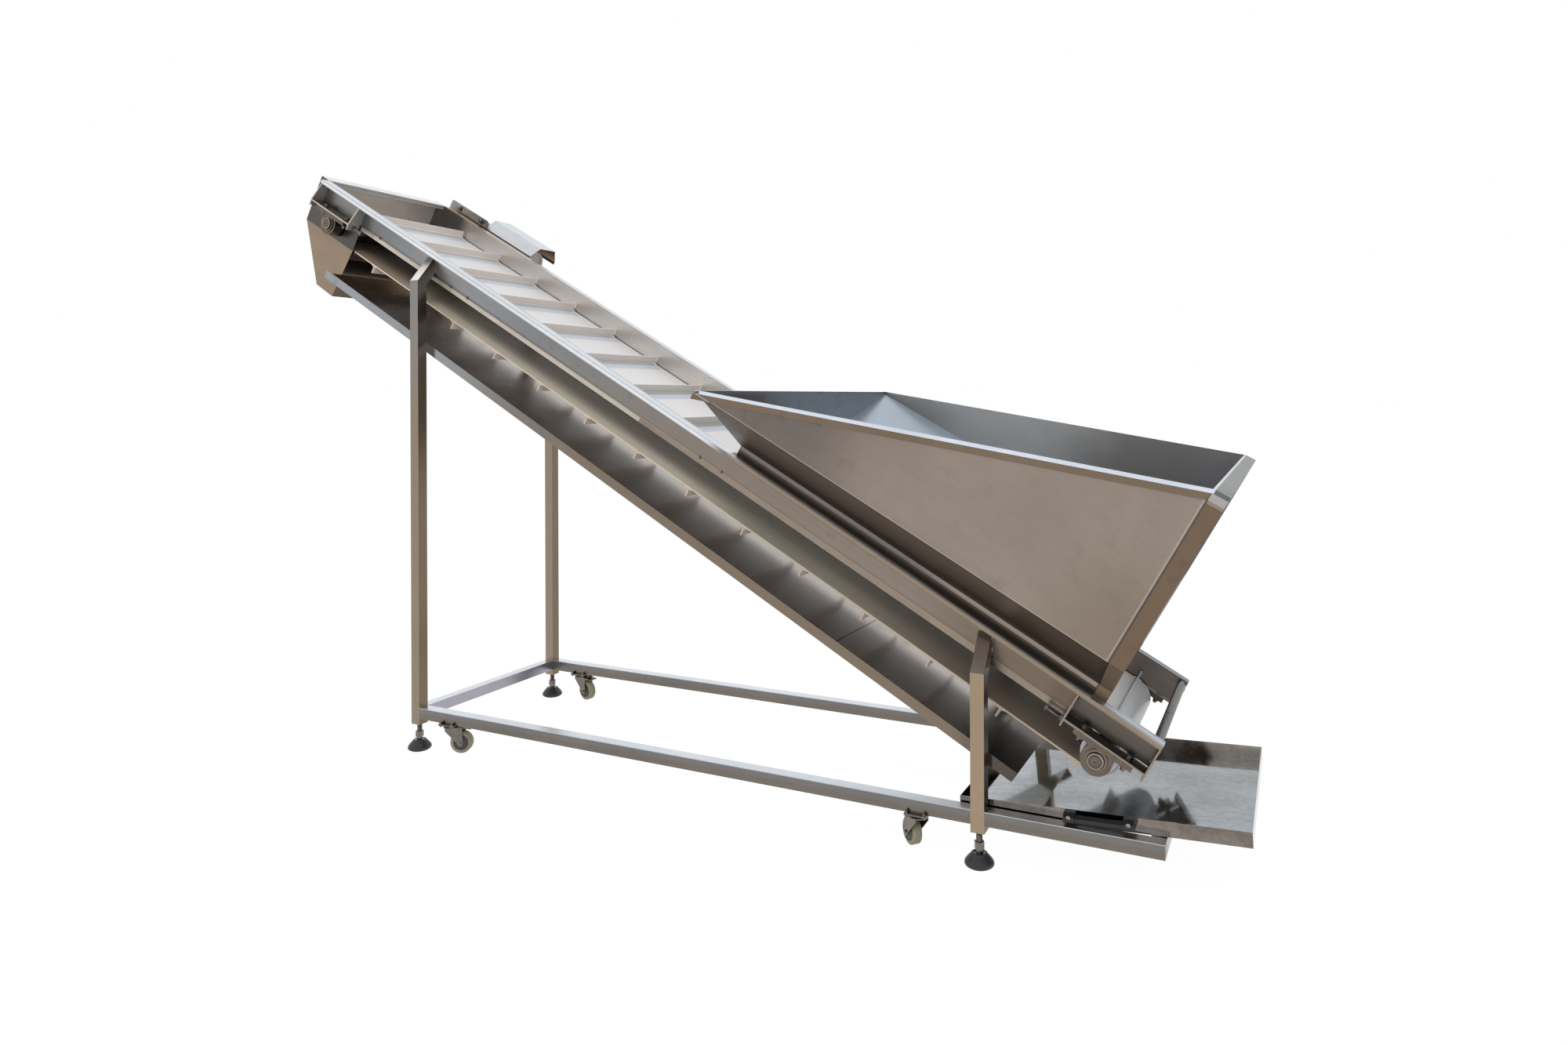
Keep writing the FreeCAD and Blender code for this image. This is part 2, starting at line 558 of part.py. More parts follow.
# Bearing brackets: shelf with a gusset at each end
def bracket_shape(sign, screw_gusset):
    """Shelf and two gussets on the outside of one side plate, from its tail end at the origin."""
    gauge = size["shelf_sheet"]
    outer = plate_face + size["shelf_width"]
    under = -size["shelf_drop"]
    shelf = Part.makeBox(size["shelf_length"], size["shelf_width"], gauge,
                         Vector(-size["shelf_length"], plate_face, under))
    gusset_low = under - size["gusset_foot"]
    gusset_top = -size["lip_drop"] - size["gusset_gap"]
    outline = [(plate_face, under), (plate_face, gusset_top),
               (plate_face + size["lip_width"] - gauge, gusset_top),
               (outer, under + gauge), (outer, gusset_low), (plate_face + gauge, gusset_low)]
    solids = [shelf]
    for start in (-gauge, -size["shelf_length"]):
        points = [Vector(start, y, z) for y, z in outline]
        solids.append(prism(points, Vector(gauge, 0, 0)))
    hole = Part.makeCylinder(size["screw_radius"] + size["screw_play"], 2 * gauge,
                             Vector(screw_gusset - gauge, bearing_y, screw_rise), Vector(1, 0, 0))
    shape = solids[0].fuse(solids[1:]).removeSplitter().cut(hole)
    if sign < 0:
        shape = shape.mirror(Vector(0, 0, 0), Vector(0, 1, 0))
    return shape


# Brackets: end, tail end up the slope, middle of the gusset that carries the take-up screw
half_gauge = size["shelf_sheet"] / 2
screw_rise = -size["shelf_drop"] - size["bearing_base_height"] / 2
BRACKETS = (
    ("head", size["plate_length"] - size["shelf_length"], -half_gauge),
    ("tail", 0, half_gauge - size["shelf_length"]),
)
for end, start, screw_gusset in BRACKETS:
    for side, sign in SIDES:
        shaped(f"{end}_bracket_{side}", bracket_shape(sign, screw_gusset), on_slope(start))


# Take-up screws through the gussets, each with a head and a lock nut
def hexagon_corners(radius):
    """Six pairs of coordinates round the origin."""
    angles = [math.radians(60 * k) for k in range(6)]
    return [(radius * math.cos(angle), radius * math.sin(angle)) for angle in angles]


def hexagon(radius, start, length, way):
    """Hexagonal prism along the slope."""
    corners = [Vector(start, y, z) for y, z in hexagon_corners(radius)]
    return prism(corners, Vector(way * length, 0, 0))


def screw_shape(inside, way):
    """Threaded rod from the bearing's foot through the gusset, along the slope."""
    through = inside + size["shelf_sheet"]
    rod = Part.makeCylinder(size["screw_radius"], through + size["screw_reach"],
                            Vector(), Vector(way, 0, 0))
    nut = hexagon(size["screw_nut"], way * through, size["screw_nut_height"], way)
    head = hexagon(size["screw_nut"], way * (through + size["screw_reach"]), size["screw_nut_height"], way)
    return rod.fuse([head, nut]).removeSplitter()


base_half = size["bearing_base"] / 2
SCREWS = (
    (size["tail_shaft"] + base_half, size["shelf_length"] - size["shelf_sheet"], -1),
    (head_shaft - base_half, size["plate_length"] - size["shelf_length"] + size["shelf_sheet"], 1),
)
screws = []
for foot_end, gusset, way in SCREWS:
    for side, sign in SIDES:
        rod = screw_shape(abs(gusset - foot_end), way)
        screws.append(rod.translated(Vector(-foot_end, sign * bearing_y, screw_rise)))
shaped("take_up_screws", Part.makeCompound(screws), conveyor)

# Tail cross bar between the side plates
bar = bound("Part::Cylinder", "tail_bar", Radius="Sizes.bar_radius", Height="Sizes.plate_gap")
bar_place = size["bar_radius"] + size["bar_inset"]
bar.Placement = on_slope(bar_place, size["plate_gap"] / 2, -bar_place, Rotation(Vector(1, 0, 0), 90))
keep("tail_bar", bar)


# Hopper: a folded sheet box whose end walls stand square to the belt
COLLAR_FOLD = 0.6  # share of a sharp fold's lift that the inside of the collar's rounded fold takes


def rim_rise(up):
    """Rise of the hopper's rim above the lip line, at a distance up the slope."""
    share = (up - size["hopper_tail"]) / (size["hopper_head"] - size["hopper_tail"])
    return size["rim_tail_rise"] + share * (size["rim_head_rise"] - size["rim_tail_rise"])


def hopper_outline(inset, top, bottom):
    """Half cross-section: upright wall, sloping flank and upright collar, moved in by the sheet."""
    collar = size["plate_gap"] / 2 + size["plate_sheet"] - inset
    wall = half_hopper - inset
    flank = math.atan2(size["hopper_bend"] - size["hopper_collar"], half_hopper - plate_face)
    lift = inset * math.tan(flank / 2)
    collar_lift = inset * math.tan((math.pi / 2 - flank) / 2)
    return [(wall, top), (wall, size["hopper_bend"] + lift),
            (collar, size["hopper_collar"] + collar_lift * COLLAR_FOLD), (collar, bottom)]


def hopper_prism(inset, start, end, top, bottom):
    """Solid of the hopper's cross-section between two places up the slope."""
    half = hopper_outline(inset, top, bottom)
    outline = half + [(-y, z) for y, z in reversed(half)]
    points = [Vector(-start, y, z) for y, z in outline]
    return prism(points, Vector(start - end, 0, 0))


def rim_cut():
    """Everything above the sloping rim plane, to be taken off."""
    low, high = size["hopper_tail"], size["hopper_head"]
    reach = 400
    points = [Vector(-(low - reach), 0, rim_rise(low - reach)),
              Vector(-(high + reach), 0, rim_rise(high + reach)),
              Vector(-(high + reach), 0, 3 * reach), Vector(-(low - reach), 0, 3 * reach)]
    points = [point - Vector(0, 2 * half_hopper, 0) for point in points]
    return prism(points, Vector(0, 4 * half_hopper, 0))


def rim_lip(sign_y):
    """Down-turned lip outside one long wall, along the sloping rim."""
    gauge = size["hopper_sheet"]
    out = size["rim_out"]
    slant = math.atan2(size["rim_tail_rise"] - size["rim_head_rise"],
                       size["hopper_head"] - size["hopper_tail"])
    drop = size["rim_drop"] / math.cos(slant)
    low, high = size["hopper_tail"] - gauge, size["hopper_head"] + out
    edge = half_hopper + out
    profile = [(half_hopper - gauge, 0), (half_hopper, 0), (edge, -out), (edge, -drop),
               (edge - gauge, -drop), (edge - gauge, -out - gauge / 2),
               (half_hopper - gauge, -gauge - size["rim_fold"])]
    wires = []
    for up in (low, high):
        points = [Vector(-up, sign_y * y, rim_rise(up) + z) for y, z in profile]
        wires.append(Part.makePolygon(points + [points[0]]))
    flat_end = [Vector(-low, sign_y * y, rim_rise(low) + z) for y, z in profile]
    return Part.makeLoft(wires, True, True).fuse(prism(flat_end, Vector(size["hopper_flange"] - gauge, 0, 0)))


def hopper_shape():
    """Hopper: walls, flanks, collar, end walls, rim lips and the tail wall's flange."""
    gauge = size["hopper_sheet"]
    tail, head = size["hopper_tail"], size["hopper_head"]
    over, through = 60, 10
    top = size["rim_tail_rise"] + over
    outside = hopper_prism(0, tail, head, top, 0)
    inside = hopper_prism(gauge, tail + gauge, head - gauge, top + through, -through)
    box = outside.cut(inside).cut(rim_cut())
    out = size["rim_out"]
    head_rise = rim_rise(head)
    fold = size["rim_fold"]
    lip_low = head_rise - size["rim_drop"]
    head_lip = [(-head, head_rise), (-head - out, head_rise - out), (-head - out, lip_low),
                (-head - out + gauge, lip_low), (-head - out + gauge, head_rise - out - fold),
                (-head + gauge, head_rise - gauge - fold), (-head + gauge, head_rise)]
    points = [Vector(x, -half_hopper - out, z) for x, z in head_lip]
    cross_lip = prism(points, Vector(0, 2 * (half_hopper + out), 0))
    flange = size["hopper_flange"]
    ring = hopper_prism(0, tail - flange, tail + gauge, size["rim_tail_rise"], 0)
    ring_hollow = hopper_prism(gauge, tail - flange - through, tail,
                               size["rim_tail_rise"] - gauge, -through)
    frame = ring.cut(ring_hollow)
    edge = Part.makeBox(gauge, 2 * half_hopper, size["rim_drop"],
                        Vector(flange - tail - gauge, -half_hopper, size["rim_tail_rise"] - size["rim_drop"]))
    return box.fuse([rim_lip(1), rim_lip(-1), cross_lip, frame, edge]).removeSplitter()


shaped("hopper", hopper_shape(), conveyor)


# Return pan under the belt, welded between the posts
def pan_shape():
    """Shallow open tray: a floor with two side lips that run on past its head end."""
    gauge = size["pan_sheet"]
    half = half_frame - size["tube"]
    under = -size["pan_drop"]
    floor_head = size["plate_length"] - size["pan_floor_back"]
    lip_head = size["plate_length"] - size["pan_lip_back"]
    floor = Part.makeBox(floor_head - size["pan_tail"], 2 * half, gauge, Vector(-floor_head, -half, under))
    solids = []
    for y in (-half, half - gauge):
        solids.append(Part.makeBox(lip_head - size["pan_tail"], gauge, size["pan_lip"],
                                   Vector(-lip_head, y, under)))
    solids.append(Part.makeBox(gauge, 2 * half, size["pan_lip"], Vector(-floor_head, -half, under)))
    return floor.fuse(solids).removeSplitter()


shaped("return_pan", pan_shape(), conveyor)


# Discharge chute: upright cheeks, a head wall with an inward lip, and a tapered spout
def chute_shape():
    """Sheet chute in the conveyor's own frame."""
    gauge = size["chute_sheet"]
    head, tail, plate_end = -chute_head, -chute_tail, -size["plate_length"]
    half = plate_face
    bend = -size["chute_bend"]
    under_plate = -size["plate_depth"]
    cheek = [(head, 0), (plate_end, 0), (plate_end, under_plate), (tail, under_plate),
             (tail, bend), (head, bend)]
    solids = []
    for y in (-half, half - gauge):
        solids.append(prism([Vector(x, y, z) for x, z in cheek], Vector(0, gauge, 0)))
    solids.append(Part.makeBox(gauge, 2 * half, -bend, Vector(head, -half, bend)))
    lip = Part.makeBox(plate_end - head, 2 * half, gauge, Vector(head, -half, -gauge))
    lip_edge = Part.makeBox(gauge, 2 * half, size["chute_lip_drop"],
                            Vector(plate_end - gauge, -half, -size["chute_lip_drop"]))
    solids += [lip, lip_edge]
    upright = conveyor.Rotation.inverted()
    front_step = Vector(size["outlet_front_in"], 0, -size["outlet_front_drop"])
    rear_step = Vector(-size["outlet_rear_out"], 0, -size["outlet_rear_drop"])
    front = Vector(head, 0, bend) + upright.multVec(front_step)
    rear = Vector(tail, 0, bend) + upright.multVec(rear_step)

    def spout(inset, stretch):
        """Tapered flat-faced solid from the bend line to the outlet, thinner by an inset."""
        def corners(x, z, sign):
            share = (bend - z) / size["outlet_front_drop"] / math.cos(slope)
            return Vector(x, sign * (half - inset - share * size["outlet_inset"]), z)

        top = [(head + inset, bend), (tail - inset, bend)]
        low = [(front.x + inset, front.z), (rear.x - inset, rear.z)]
        if stretch:
            low = [(x + (x - x0) * stretch, z + (z - z0) * stretch) for (x0, z0), (x, z) in zip(top, low)]
        near = [corners(x, z, -1) for x, z in (top[0], top[1], low[1], low[0])]
        far = [corners(x, z, 1) for x, z in (top[0], top[1], low[1], low[0])]
        outlines = [near, far] + [[near[k], near[k - 1], far[k - 1], far[k]] for k in range(4)]
        faces = [Part.Face(Part.makePolygon(outline + [outline[0]])) for outline in outlines]
        return Part.makeSolid(Part.makeShell(faces))

    past_outlet = 0.05
    walls = spout(0, 0).cut(spout(gauge, past_outlet))
    flights_under = belt_under - size["flight_height"] - size["belt_gap"]
    belt_side = size["belt_width"] / 2 + size["belt_side_gap"]
    passage = Part.makeBox(size["outlet_rear_out"], 2 * belt_side, 2 * size["chute_bend"],
                           Vector(tail - size["outlet_rear_out"] / 2, -belt_side, flights_under))
    solids.append(walls.cut(passage))
    hole = Part.makeCylinder(size["shaft_radius"] + size["shaft_window"], 3 * half,
                             Vector(-head_shaft, -1.5 * half, -shaft_drop), Vector(0, 1, 0))
    return solids[0].fuse(solids[1:]).cut(hole).removeSplitter()


shaped("discharge_chute", chute_shape(), conveyor)


# Drive: mounting plate, gearbox, motor and guard
def motor_plate_shape():
    """Upright plate with a rounded top corner, a shaft hole and two slots."""
    thick = Vector(0, size["motor_plate_sheet"], 0)
    head = -size["plate_length"] - size["motor_plate_reach"]
    tail = head + size["motor_plate_length"]
    top, bottom = size["motor_plate_rise"], -size["motor_plate_drop"]
    y = motor_plate_y
    corner = size["motor_plate_corner"]
    points = [Vector(head, y, bottom), Vector(tail, y, bottom), Vector(tail, y, top - corner),
              Vector(tail - corner, y, top), Vector(head + corner / 2, y, top),
              Vector(head, y, top - corner / 2)]
    plate = prism(points, thick)
    through = 4 * size["motor_plate_sheet"]
    start = y - size["motor_plate_sheet"]
    hole = Part.makeCylinder(size["shaft_radius"] + size["shaft_window"], through,
                             Vector(-head_shaft, start, -shaft_drop), Vector(0, 1, 0))
    slots = []
    for x in (head + size["slot_from_head"], tail - size["slot_from_tail"]):
        slots.append(Part.makeBox(size["slot_length"], through, size["slot_height"],
                                  Vector(x - size["slot_length"] / 2, start, top - size["slot_drop"])))
    return plate.cut([hole] + slots)


shaped("motor_plate", motor_plate_shape(), conveyor)


def gearbox_shape():
    """Worm gearbox: a ribbed housing round the shaft, an output boss and a motor flange."""
    half = size["gearbox_length"] / 2
    x = -head_shaft
    step = size["gearbox_step"]
    body = Part.makeBox(size["gearbox_length"], size["gearbox_width"] - 2 * step,
                        size["gearbox_above"] + size["gearbox_below"],
                        Vector(x - half, gearbox_y + step, -shaft_drop - size["gearbox_below"]))
    edges = [edge for edge in body.Edges if abs(edge.tangentAt(0).y) > 0.9]
    body = body.makeFillet(size["gearbox_corner"], edges)
    boss = Part.makeCylinder(size["gearbox_boss"], size["gearbox_width"],
                             Vector(x, gearbox_y, -shaft_drop), Vector(0, 1, 0))
    flange_place = Vector(x + half - size["motor_flange_root"], gearbox_y + size["gearbox_width"] / 2,
                          size["motor_rise"] - shaft_drop)
    flange = Part.makeCylinder(size["motor_radius"] - size["motor_flange_step"], size["motor_flange"],
                               flange_place, Vector(1, 0, 0))
    return body.fuse([boss, flange]).removeSplitter()


shaped("gearbox", gearbox_shape(), conveyor)


def motor_shape():
    """Finned motor along the slope, with a smooth fan cowl at its tail end and a terminal box."""
    start = -head_shaft + size["gearbox_length"] / 2 + size["motor_flange"] - size["motor_flange_root"]
    centre_y = gearbox_y + size["gearbox_width"] / 2
    rise = size["motor_rise"] - shaft_drop
    core_radius = size["motor_radius"] - size["fin_depth"]
    cowl = size["cowl_length"]
    along = Vector(1, 0, 0)
    core = Part.makeCylinder(core_radius, size["motor_length"] - cowl, Vector(start, centre_y, rise), along)
    cover = Part.makeCylinder(size["motor_radius"] - size["cowl_step"], cowl,
                              Vector(start + size["motor_length"] - cowl, centre_y, rise), along)
    dish = Part.makeCylinder(size["motor_radius"] - size["cowl_rim"], 2 * size["cowl_dish"],
                             Vector(start + size["motor_length"] - size["cowl_dish"], centre_y, rise), along)
    fins = []
    for number in range(size["motor_fins"]):
        fin = Part.makeBox(size["motor_length"] - cowl - size["fin_start"] - size["fin_stop"],
                           size["fin_width"], size["fin_depth"] + size["fin_root"],
                           Vector(start + size["fin_start"], -size["fin_width"] / 2,
                                  core_radius - size["fin_root"]))
        fin.rotate(Vector(0, 0, 0), Vector(1, 0, 0), 360 * number / size["motor_fins"])
        fins.append(fin.translated(Vector(0, centre_y, rise)))
    box = Part.makeBox(size["terminal_length"], size["terminal_depth"], size["terminal_height"],
                       Vector(start + size["cowl_length"] / 2, centre_y + core_radius - size["fin_depth"],
                              rise - size["terminal_height"] / 2))
    return core.fuse([cover] + fins).cut(dish).fuse(box).removeSplitter()


shaped("motor", motor_shape(), conveyor)


def cover_shape():
    """Bent-sheet guard over the motor: upright side, slope, flat top, steeper far slope and short side."""
    near, top = gearbox_y, size["cover_top"]
    chamfer, flat = size["cover_chamfer"], size["cover_flat_width"]
    side, gauge = size["cover_side"], size["cover_sheet"]
    run, drop = size["cover_far_run"], size["cover_far_drop"]
    inset = gauge * math.tan(math.pi / 8)
    steep = math.atan2(drop, run)
    top_inset = gauge * math.tan(steep / 2)
    side_inset = gauge * math.tan((math.pi / 2 - steep) / 2)
    edge = near + chamfer + flat
    far_end = top - drop - size["cover_far_side"]
    outer = [(near, top - chamfer - side), (near, top - chamfer), (near + chamfer, top), (edge, top),
             (edge + run, top - drop), (edge + run, far_end)]
    inner = [(edge + run - gauge, far_end), (edge + run - gauge, top - drop - side_inset),
             (edge - top_inset, top - gauge), (near + chamfer + inset, top - gauge),
             (near + gauge, top - chamfer - inset), (near + gauge, top - chamfer - side)]
    start = size["cover_back"] - size["plate_length"]
    points = [Vector(start, y, z) for y, z in outer + inner]
    return prism(points, Vector(size["cover_length"], 0, 0))


shaped("motor_guard", cover_shape(), conveyor)

# Levelling feet under the four posts
FOOT_PLACES = [(left + size["tube"] / 2, sign * (half_frame - size["tube"] / 2))
               for end, left in ENDS for side, sign in SIDES]


def pad_shape():
    """Moulded pad: a tucked-in base, the widest ring, a cone drawn in to the neck and a dish."""
    radius, neck, top = size["foot_pad_radius"], size["foot_neck_radius"], size["foot_pad_height"]
    skirt, dish, floor = size["foot_pad_skirt"], size["foot_dish_radius"], top - size["foot_dish_depth"]
    base = [(0, 0), (0.8, 0), (0.94, 0.35), (1, 0.8), (1, 1)]
    cone = [(0.93, 0.18), (0.66, 0.45), (0.34, 0.7), (0.1, 0.9), (0, 1)]
    outline = [(share * radius, height * skirt) for share, height in base]
    outline += [(neck + share * (radius - neck), skirt + height * (top - skirt)) for share, height in cone]
    outline += [(dish, top), (dish, floor), (0, floor)]
    points = [Vector(x, 0, z) for x, z in outline]
    wire = Part.makePolygon(points + [points[0]])
    return Part.Face(wire).revolve(Vector(0, 0, 0), Vector(0, 0, 1), 360)


def spindle_shape():
    """Ball seat with its hexagon, lock nut and spindle, from the pad's dish to the post's end."""
    start = size["foot_pad_height"] - size["foot_dish_depth"]

    def hexagon_up(radius, low, height):
        """Upright hexagonal prism."""
        return prism([Vector(x, y, low) for x, y in hexagon_corners(radius)], Vector(0, 0, height))

    seat = hexagon_up(size["spindle_radius"] + size["seat_step"], start, size["nut_rise"])
    nut = hexagon_up(size["nut_radius"], start + size["nut_rise"], size["nut_height"])
    rod_start = start + size["nut_rise"] + size["nut_height"]
    rod = Part.makeCylinder(size["spindle_radius"], size["post_bottom"] - rod_start, Vector(0, 0, rod_start))
    return rod.fuse([seat, nut]).removeSplitter()


for label, foot in (("foot_pads", pad_shape()), ("foot_spindles", spindle_shape())):
    shaped(label, Part.makeCompound([foot.translated(Vector(x, y, 0)) for x, y in FOOT_PLACES]),
           machine(0, 0, 0))

# Casters: name, place along the frame, side, direction in which the wheel trails, degrees
caster_left = size["tube"] + size["caster_from_head"]
caster_right = size["post_spacing"] - size["caster_from_tail"]
CASTERS = (
    ("head_near", caster_left, -1, 27),
    ("head_far", caster_left, 1, -11),
    ("tail_near", caster_right, -1, 140),
    ("tail_far", caster_right, 1, 160),
)
race_under = size["rail_bottom"] - size["caster_plate_sheet"] - size["race_height"]
fork_top = race_under - size["swivel_play"]
axle_height = size["wheel_lift"] + size["wheel_radius"]
pin_head = 6


def caster_plate_shape():
    """Top plate with its race and the kingpin with its head, on the swivel axis."""
    side = size["caster_plate"]
    gauge = size["caster_plate_sheet"]
    plate = Part.makeBox(side, side, gauge, Vector(-side / 2, -side / 2, size["rail_bottom"] - gauge))
    race = Part.makeCone(size["race_radius"] - size["race_taper"], size["race_radius"],
                         size["race_height"], Vector(0, 0, race_under))
    low = fork_top - size["fork_sheet"] - size["swivel_play"] - pin_head
    kingpin = Part.makeCylinder(size["kingpin_radius"], race_under - low, Vector(0, 0, low))
    corners = [Vector(x, y, low) for x, y in hexagon_corners(2 * size["kingpin_radius"])]
    head = prism(corners, Vector(0, 0, pin_head))
    return plate.fuse([race, kingpin, head]).removeSplitter()


def fork_shape():
    """Pressed fork: top disc, tapered cheeks, axle bolt and brake pedal, trailing along +X."""
    gauge = size["fork_sheet"]
    half = size["fork_gap"] / 2
    trail, eye = size["trail"], size["fork_eye"]
    front, back = -size["fork_front"], trail + size["fork_back"]
    low = axle_height - size["fork_eye_drop"]
    disc = Part.makeCylinder(size["race_radius"] + size["fork_disc_rim"], gauge,
                             Vector(0, 0, fork_top - gauge))
    crown = Part.makeBox(back - front, 2 * (half + gauge), gauge,
                         Vector(front, -half - gauge, fork_top - gauge))
    outline = [(front, fork_top), (back, fork_top), (back, fork_top - size["fork_back_height"]),
               (trail + eye, axle_height), (trail + eye / 2, low), (trail - eye / 2, low),
               (trail - eye, axle_height - size["fork_eye_slant"]),
               (front, fork_top - size["fork_front_height"])]
    solids = [crown]
    for y in (-half - gauge, half):
        solids.append(prism([Vector(x, y, z) for x, z in outline], Vector(0, gauge, 0)))
    axle_half = half + gauge + size["axle_head"]
    solids.append(Part.makeCylinder(size["axle_radius"], 2 * axle_half,
                                    Vector(trail, -axle_half, axle_height), Vector(0, 1, 0)))
    pedal = Part.makeBox(size["pedal_length"], 2 * half, gauge, Vector(0, -half, 0))
    pedal.rotate(Vector(0, 0, 0), Vector(0, 1, 0), size["pedal_slope"])
    solids.append(pedal.translated(Vector(trail + size["pedal_from_axle"], 0, fork_top - gauge)))
    hole = Part.makeCylinder(size["kingpin_radius"] + size["pin_play"], 4 * gauge,
                             Vector(0, 0, fork_top - 3 * gauge))
    return disc.fuse(solids).cut(hole).removeSplitter()


def hub_shape():
    """Wheel core: a bored boss that slopes down to a narrower rim, along Y at the origin."""
    boss, radius = size["hub_width"] / 2, size["hub_radius"]
    rim = size["wheel_width"] / 2 - size["hub_dish"]
    bore = size["axle_radius"] + size["pin_play"]
    outline = [(bore, -boss), (size["boss_radius"], -boss), (radius, -rim), (radius, rim),
               (size["boss_radius"], boss), (bore, boss)]
    points = [Vector(x, y, 0) for x, y in outline]
    return Part.Face(Part.makePolygon(points + [points[0]])).revolve(Vector(0, 0, 0), Vector(0, 1, 0), 360)


def tyre_shape():
    """Tyre with sloping shoulders, along Y at the origin."""
    half, outer, inner = size["wheel_width"] / 2, size["wheel_radius"], size["hub_radius"]
    shoulder = size["tyre_shoulder"]
    outline = [(inner, -half), (outer, shoulder - half), (outer, half - shoulder), (inner, half)]
    points = [Vector(x, y, 0) for x, y in outline]
    return Part.Face(Part.makePolygon(points + [points[0]])).revolve(Vector(0, 0, 0), Vector(0, 1, 0), 360)


caster_plates = []
for name, x, sign, heading in CASTERS:
    y = sign * (half_frame - size["tube"] / 2)
    turn = Rotation(Vector(0, 0, 1), heading)
    caster_plates.append(caster_plate_shape().translated(Vector(x, y, 0)))
    shaped(f"caster_fork_{name}", fork_shape(), machine(x, y, 0, turn))
    axle = Vector(x, y, axle_height) + turn.multVec(Vector(size["trail"], 0, 0))
    shaped(f"caster_core_{name}", hub_shape(), machine(*axle, turn))
    shaped(f"caster_tyre_{name}", tyre_shape(), machine(*axle, turn))
shaped("caster_plates", Part.makeCompound(caster_plates), machine(0, 0, 0))


# Drip tray between the base rails, resting on two cross tubes
def tray_shape():
    """Open tray: a floor and four walls, from its left end at the origin."""
    gauge = size["tray_sheet"]
    half = size["tray_width"] / 2
    outer = Part.makeBox(size["tray_length"], 2 * half, size["tray_depth"], Vector(0, -half, 0))
    inner = Part.makeBox(size["tray_length"] - 2 * gauge, 2 * (half - gauge), size["tray_depth"],
                         Vector(gauge, gauge - half, gauge))
    return outer.cut(inner)


tray_turn = Rotation(Vector(0, 1, 0), -math.degrees(tray_tilt))
seat_x = size["post_spacing"]
tray_z = tray_start_z - (seat_x - tray_left) * math.tan(tray_tilt)
tray_place = machine(tray_left, 0, tray_z, tray_turn)
shaped("drip_tray", tray_shape(), tray_place)


def handle_section(set_back, start, length):
    """Length of the handle's section: upright front, sloping top and flat back, set back by a step."""
    face = -size["tray_width"] / 2
    front = face - size["handle_reach"] + set_back
    low, top = size["handle_rise"], size["handle_rise"] + size["handle_height"] - set_back
    slant = size["handle_chamfer"]
    edge = size["handle_edge"]
    outline = [(face, low), (front + edge, low), (front, low + edge), (front, top - slant),
               (front + size["handle_slope_run"], top), (face, top)]
    return prism([Vector(start, y, z) for y, z in outline], Vector(length, 0, 0))


def handle_shape():
    """Moulded bow handle: two feet and a stepped-back grip, outside the tray's near wall."""
    left, length = size["handle_from_left"], size["handle_length"]
    foot = (length - size["handle_hole"]) / 2
    feet = [handle_section(0, left, foot), handle_section(0, left + length - foot, foot)]
    grip = handle_section(size["handle_step"], left, length)
    depth = size["handle_reach"] - size["handle_bar"]
    gap = Part.makeBox(size["handle_hole"], depth, 2 * size["handle_height"],
                       Vector(left + foot, -size["tray_width"] / 2 - depth, 0))
    return grip.cut(gap).fuse(feet).removeSplitter()


shaped("tray_handle", handle_shape(), tray_place)

doc.recompute()

# Every object must have built, and every sub-part must be a valid shape
for item in doc.Objects:
    if "Invalid" in item.State or "Error" in item.State:
        raise RuntimeError(f"{item.Label} failed: {item.State}")
for label, item in nodes.items():
    if item.Shape.isNull() or not item.Shape.isValid():
        raise RuntimeError(f"{label} has no valid shape")
for label, item in nodes.items():
    item.Shape.exportStep(f"parts/{label}.step")
    print(label, "solids", len(item.Shape.Solids), "litres", round(item.Shape.Volume / 1e6, 3))
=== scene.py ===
"""Looks of the inclined flighted-belt conveyor: finishes, fasteners, welds, floor, light and camera.

Metres. +X is the hopper and tray end, -Y the near side, +Z up. The slope frame used for
patterns and small parts is (up, across, rise): up the belt from the plates' tail end, across
the machine, and square to the belt from the plates' lip.
"""
import math

import bpy
import numpy as np
from mathutils import Matrix, Vector


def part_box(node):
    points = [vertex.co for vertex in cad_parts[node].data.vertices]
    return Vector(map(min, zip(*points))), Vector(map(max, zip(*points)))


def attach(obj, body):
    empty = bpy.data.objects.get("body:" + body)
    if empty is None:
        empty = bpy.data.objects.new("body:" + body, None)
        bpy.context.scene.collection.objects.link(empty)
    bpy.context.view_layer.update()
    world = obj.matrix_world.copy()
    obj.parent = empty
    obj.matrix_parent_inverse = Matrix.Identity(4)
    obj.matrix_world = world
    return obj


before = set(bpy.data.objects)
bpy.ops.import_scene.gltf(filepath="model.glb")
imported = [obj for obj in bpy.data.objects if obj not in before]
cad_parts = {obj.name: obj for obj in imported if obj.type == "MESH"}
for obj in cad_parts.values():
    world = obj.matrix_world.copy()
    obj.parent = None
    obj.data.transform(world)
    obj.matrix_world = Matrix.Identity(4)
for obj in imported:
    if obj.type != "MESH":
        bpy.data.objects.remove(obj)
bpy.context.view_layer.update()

# Places on the machine, in metres
INCLINE = math.radians(29.16)
CENTRE_X = -float(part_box("post_head_near")[0][0])
TAIL = np.array([2.546 - CENTRE_X, 0.0, 0.379])
UP = np.array([-math.cos(INCLINE), 0.0, math.sin(INCLINE)])
RISE = np.array([math.sin(INCLINE), 0.0, math.cos(INCLINE)])
ACROSS = np.array([0.0, 1.0, 0.0])
PLATE_LENGTH = 3.507
PLATE_FACE = 0.285
HALF_FRAME = 0.365
TUBE = 0.038
POSTS_X = (-CENTRE_X, 2.060 - CENTRE_X)
CASTERS_X = (0.175 - CENTRE_X, 1.907 - CENTRE_X)
SHAFT_RISE = -0.1309
TAIL_SHAFT = 0.116
HEAD_SHAFT = 3.385
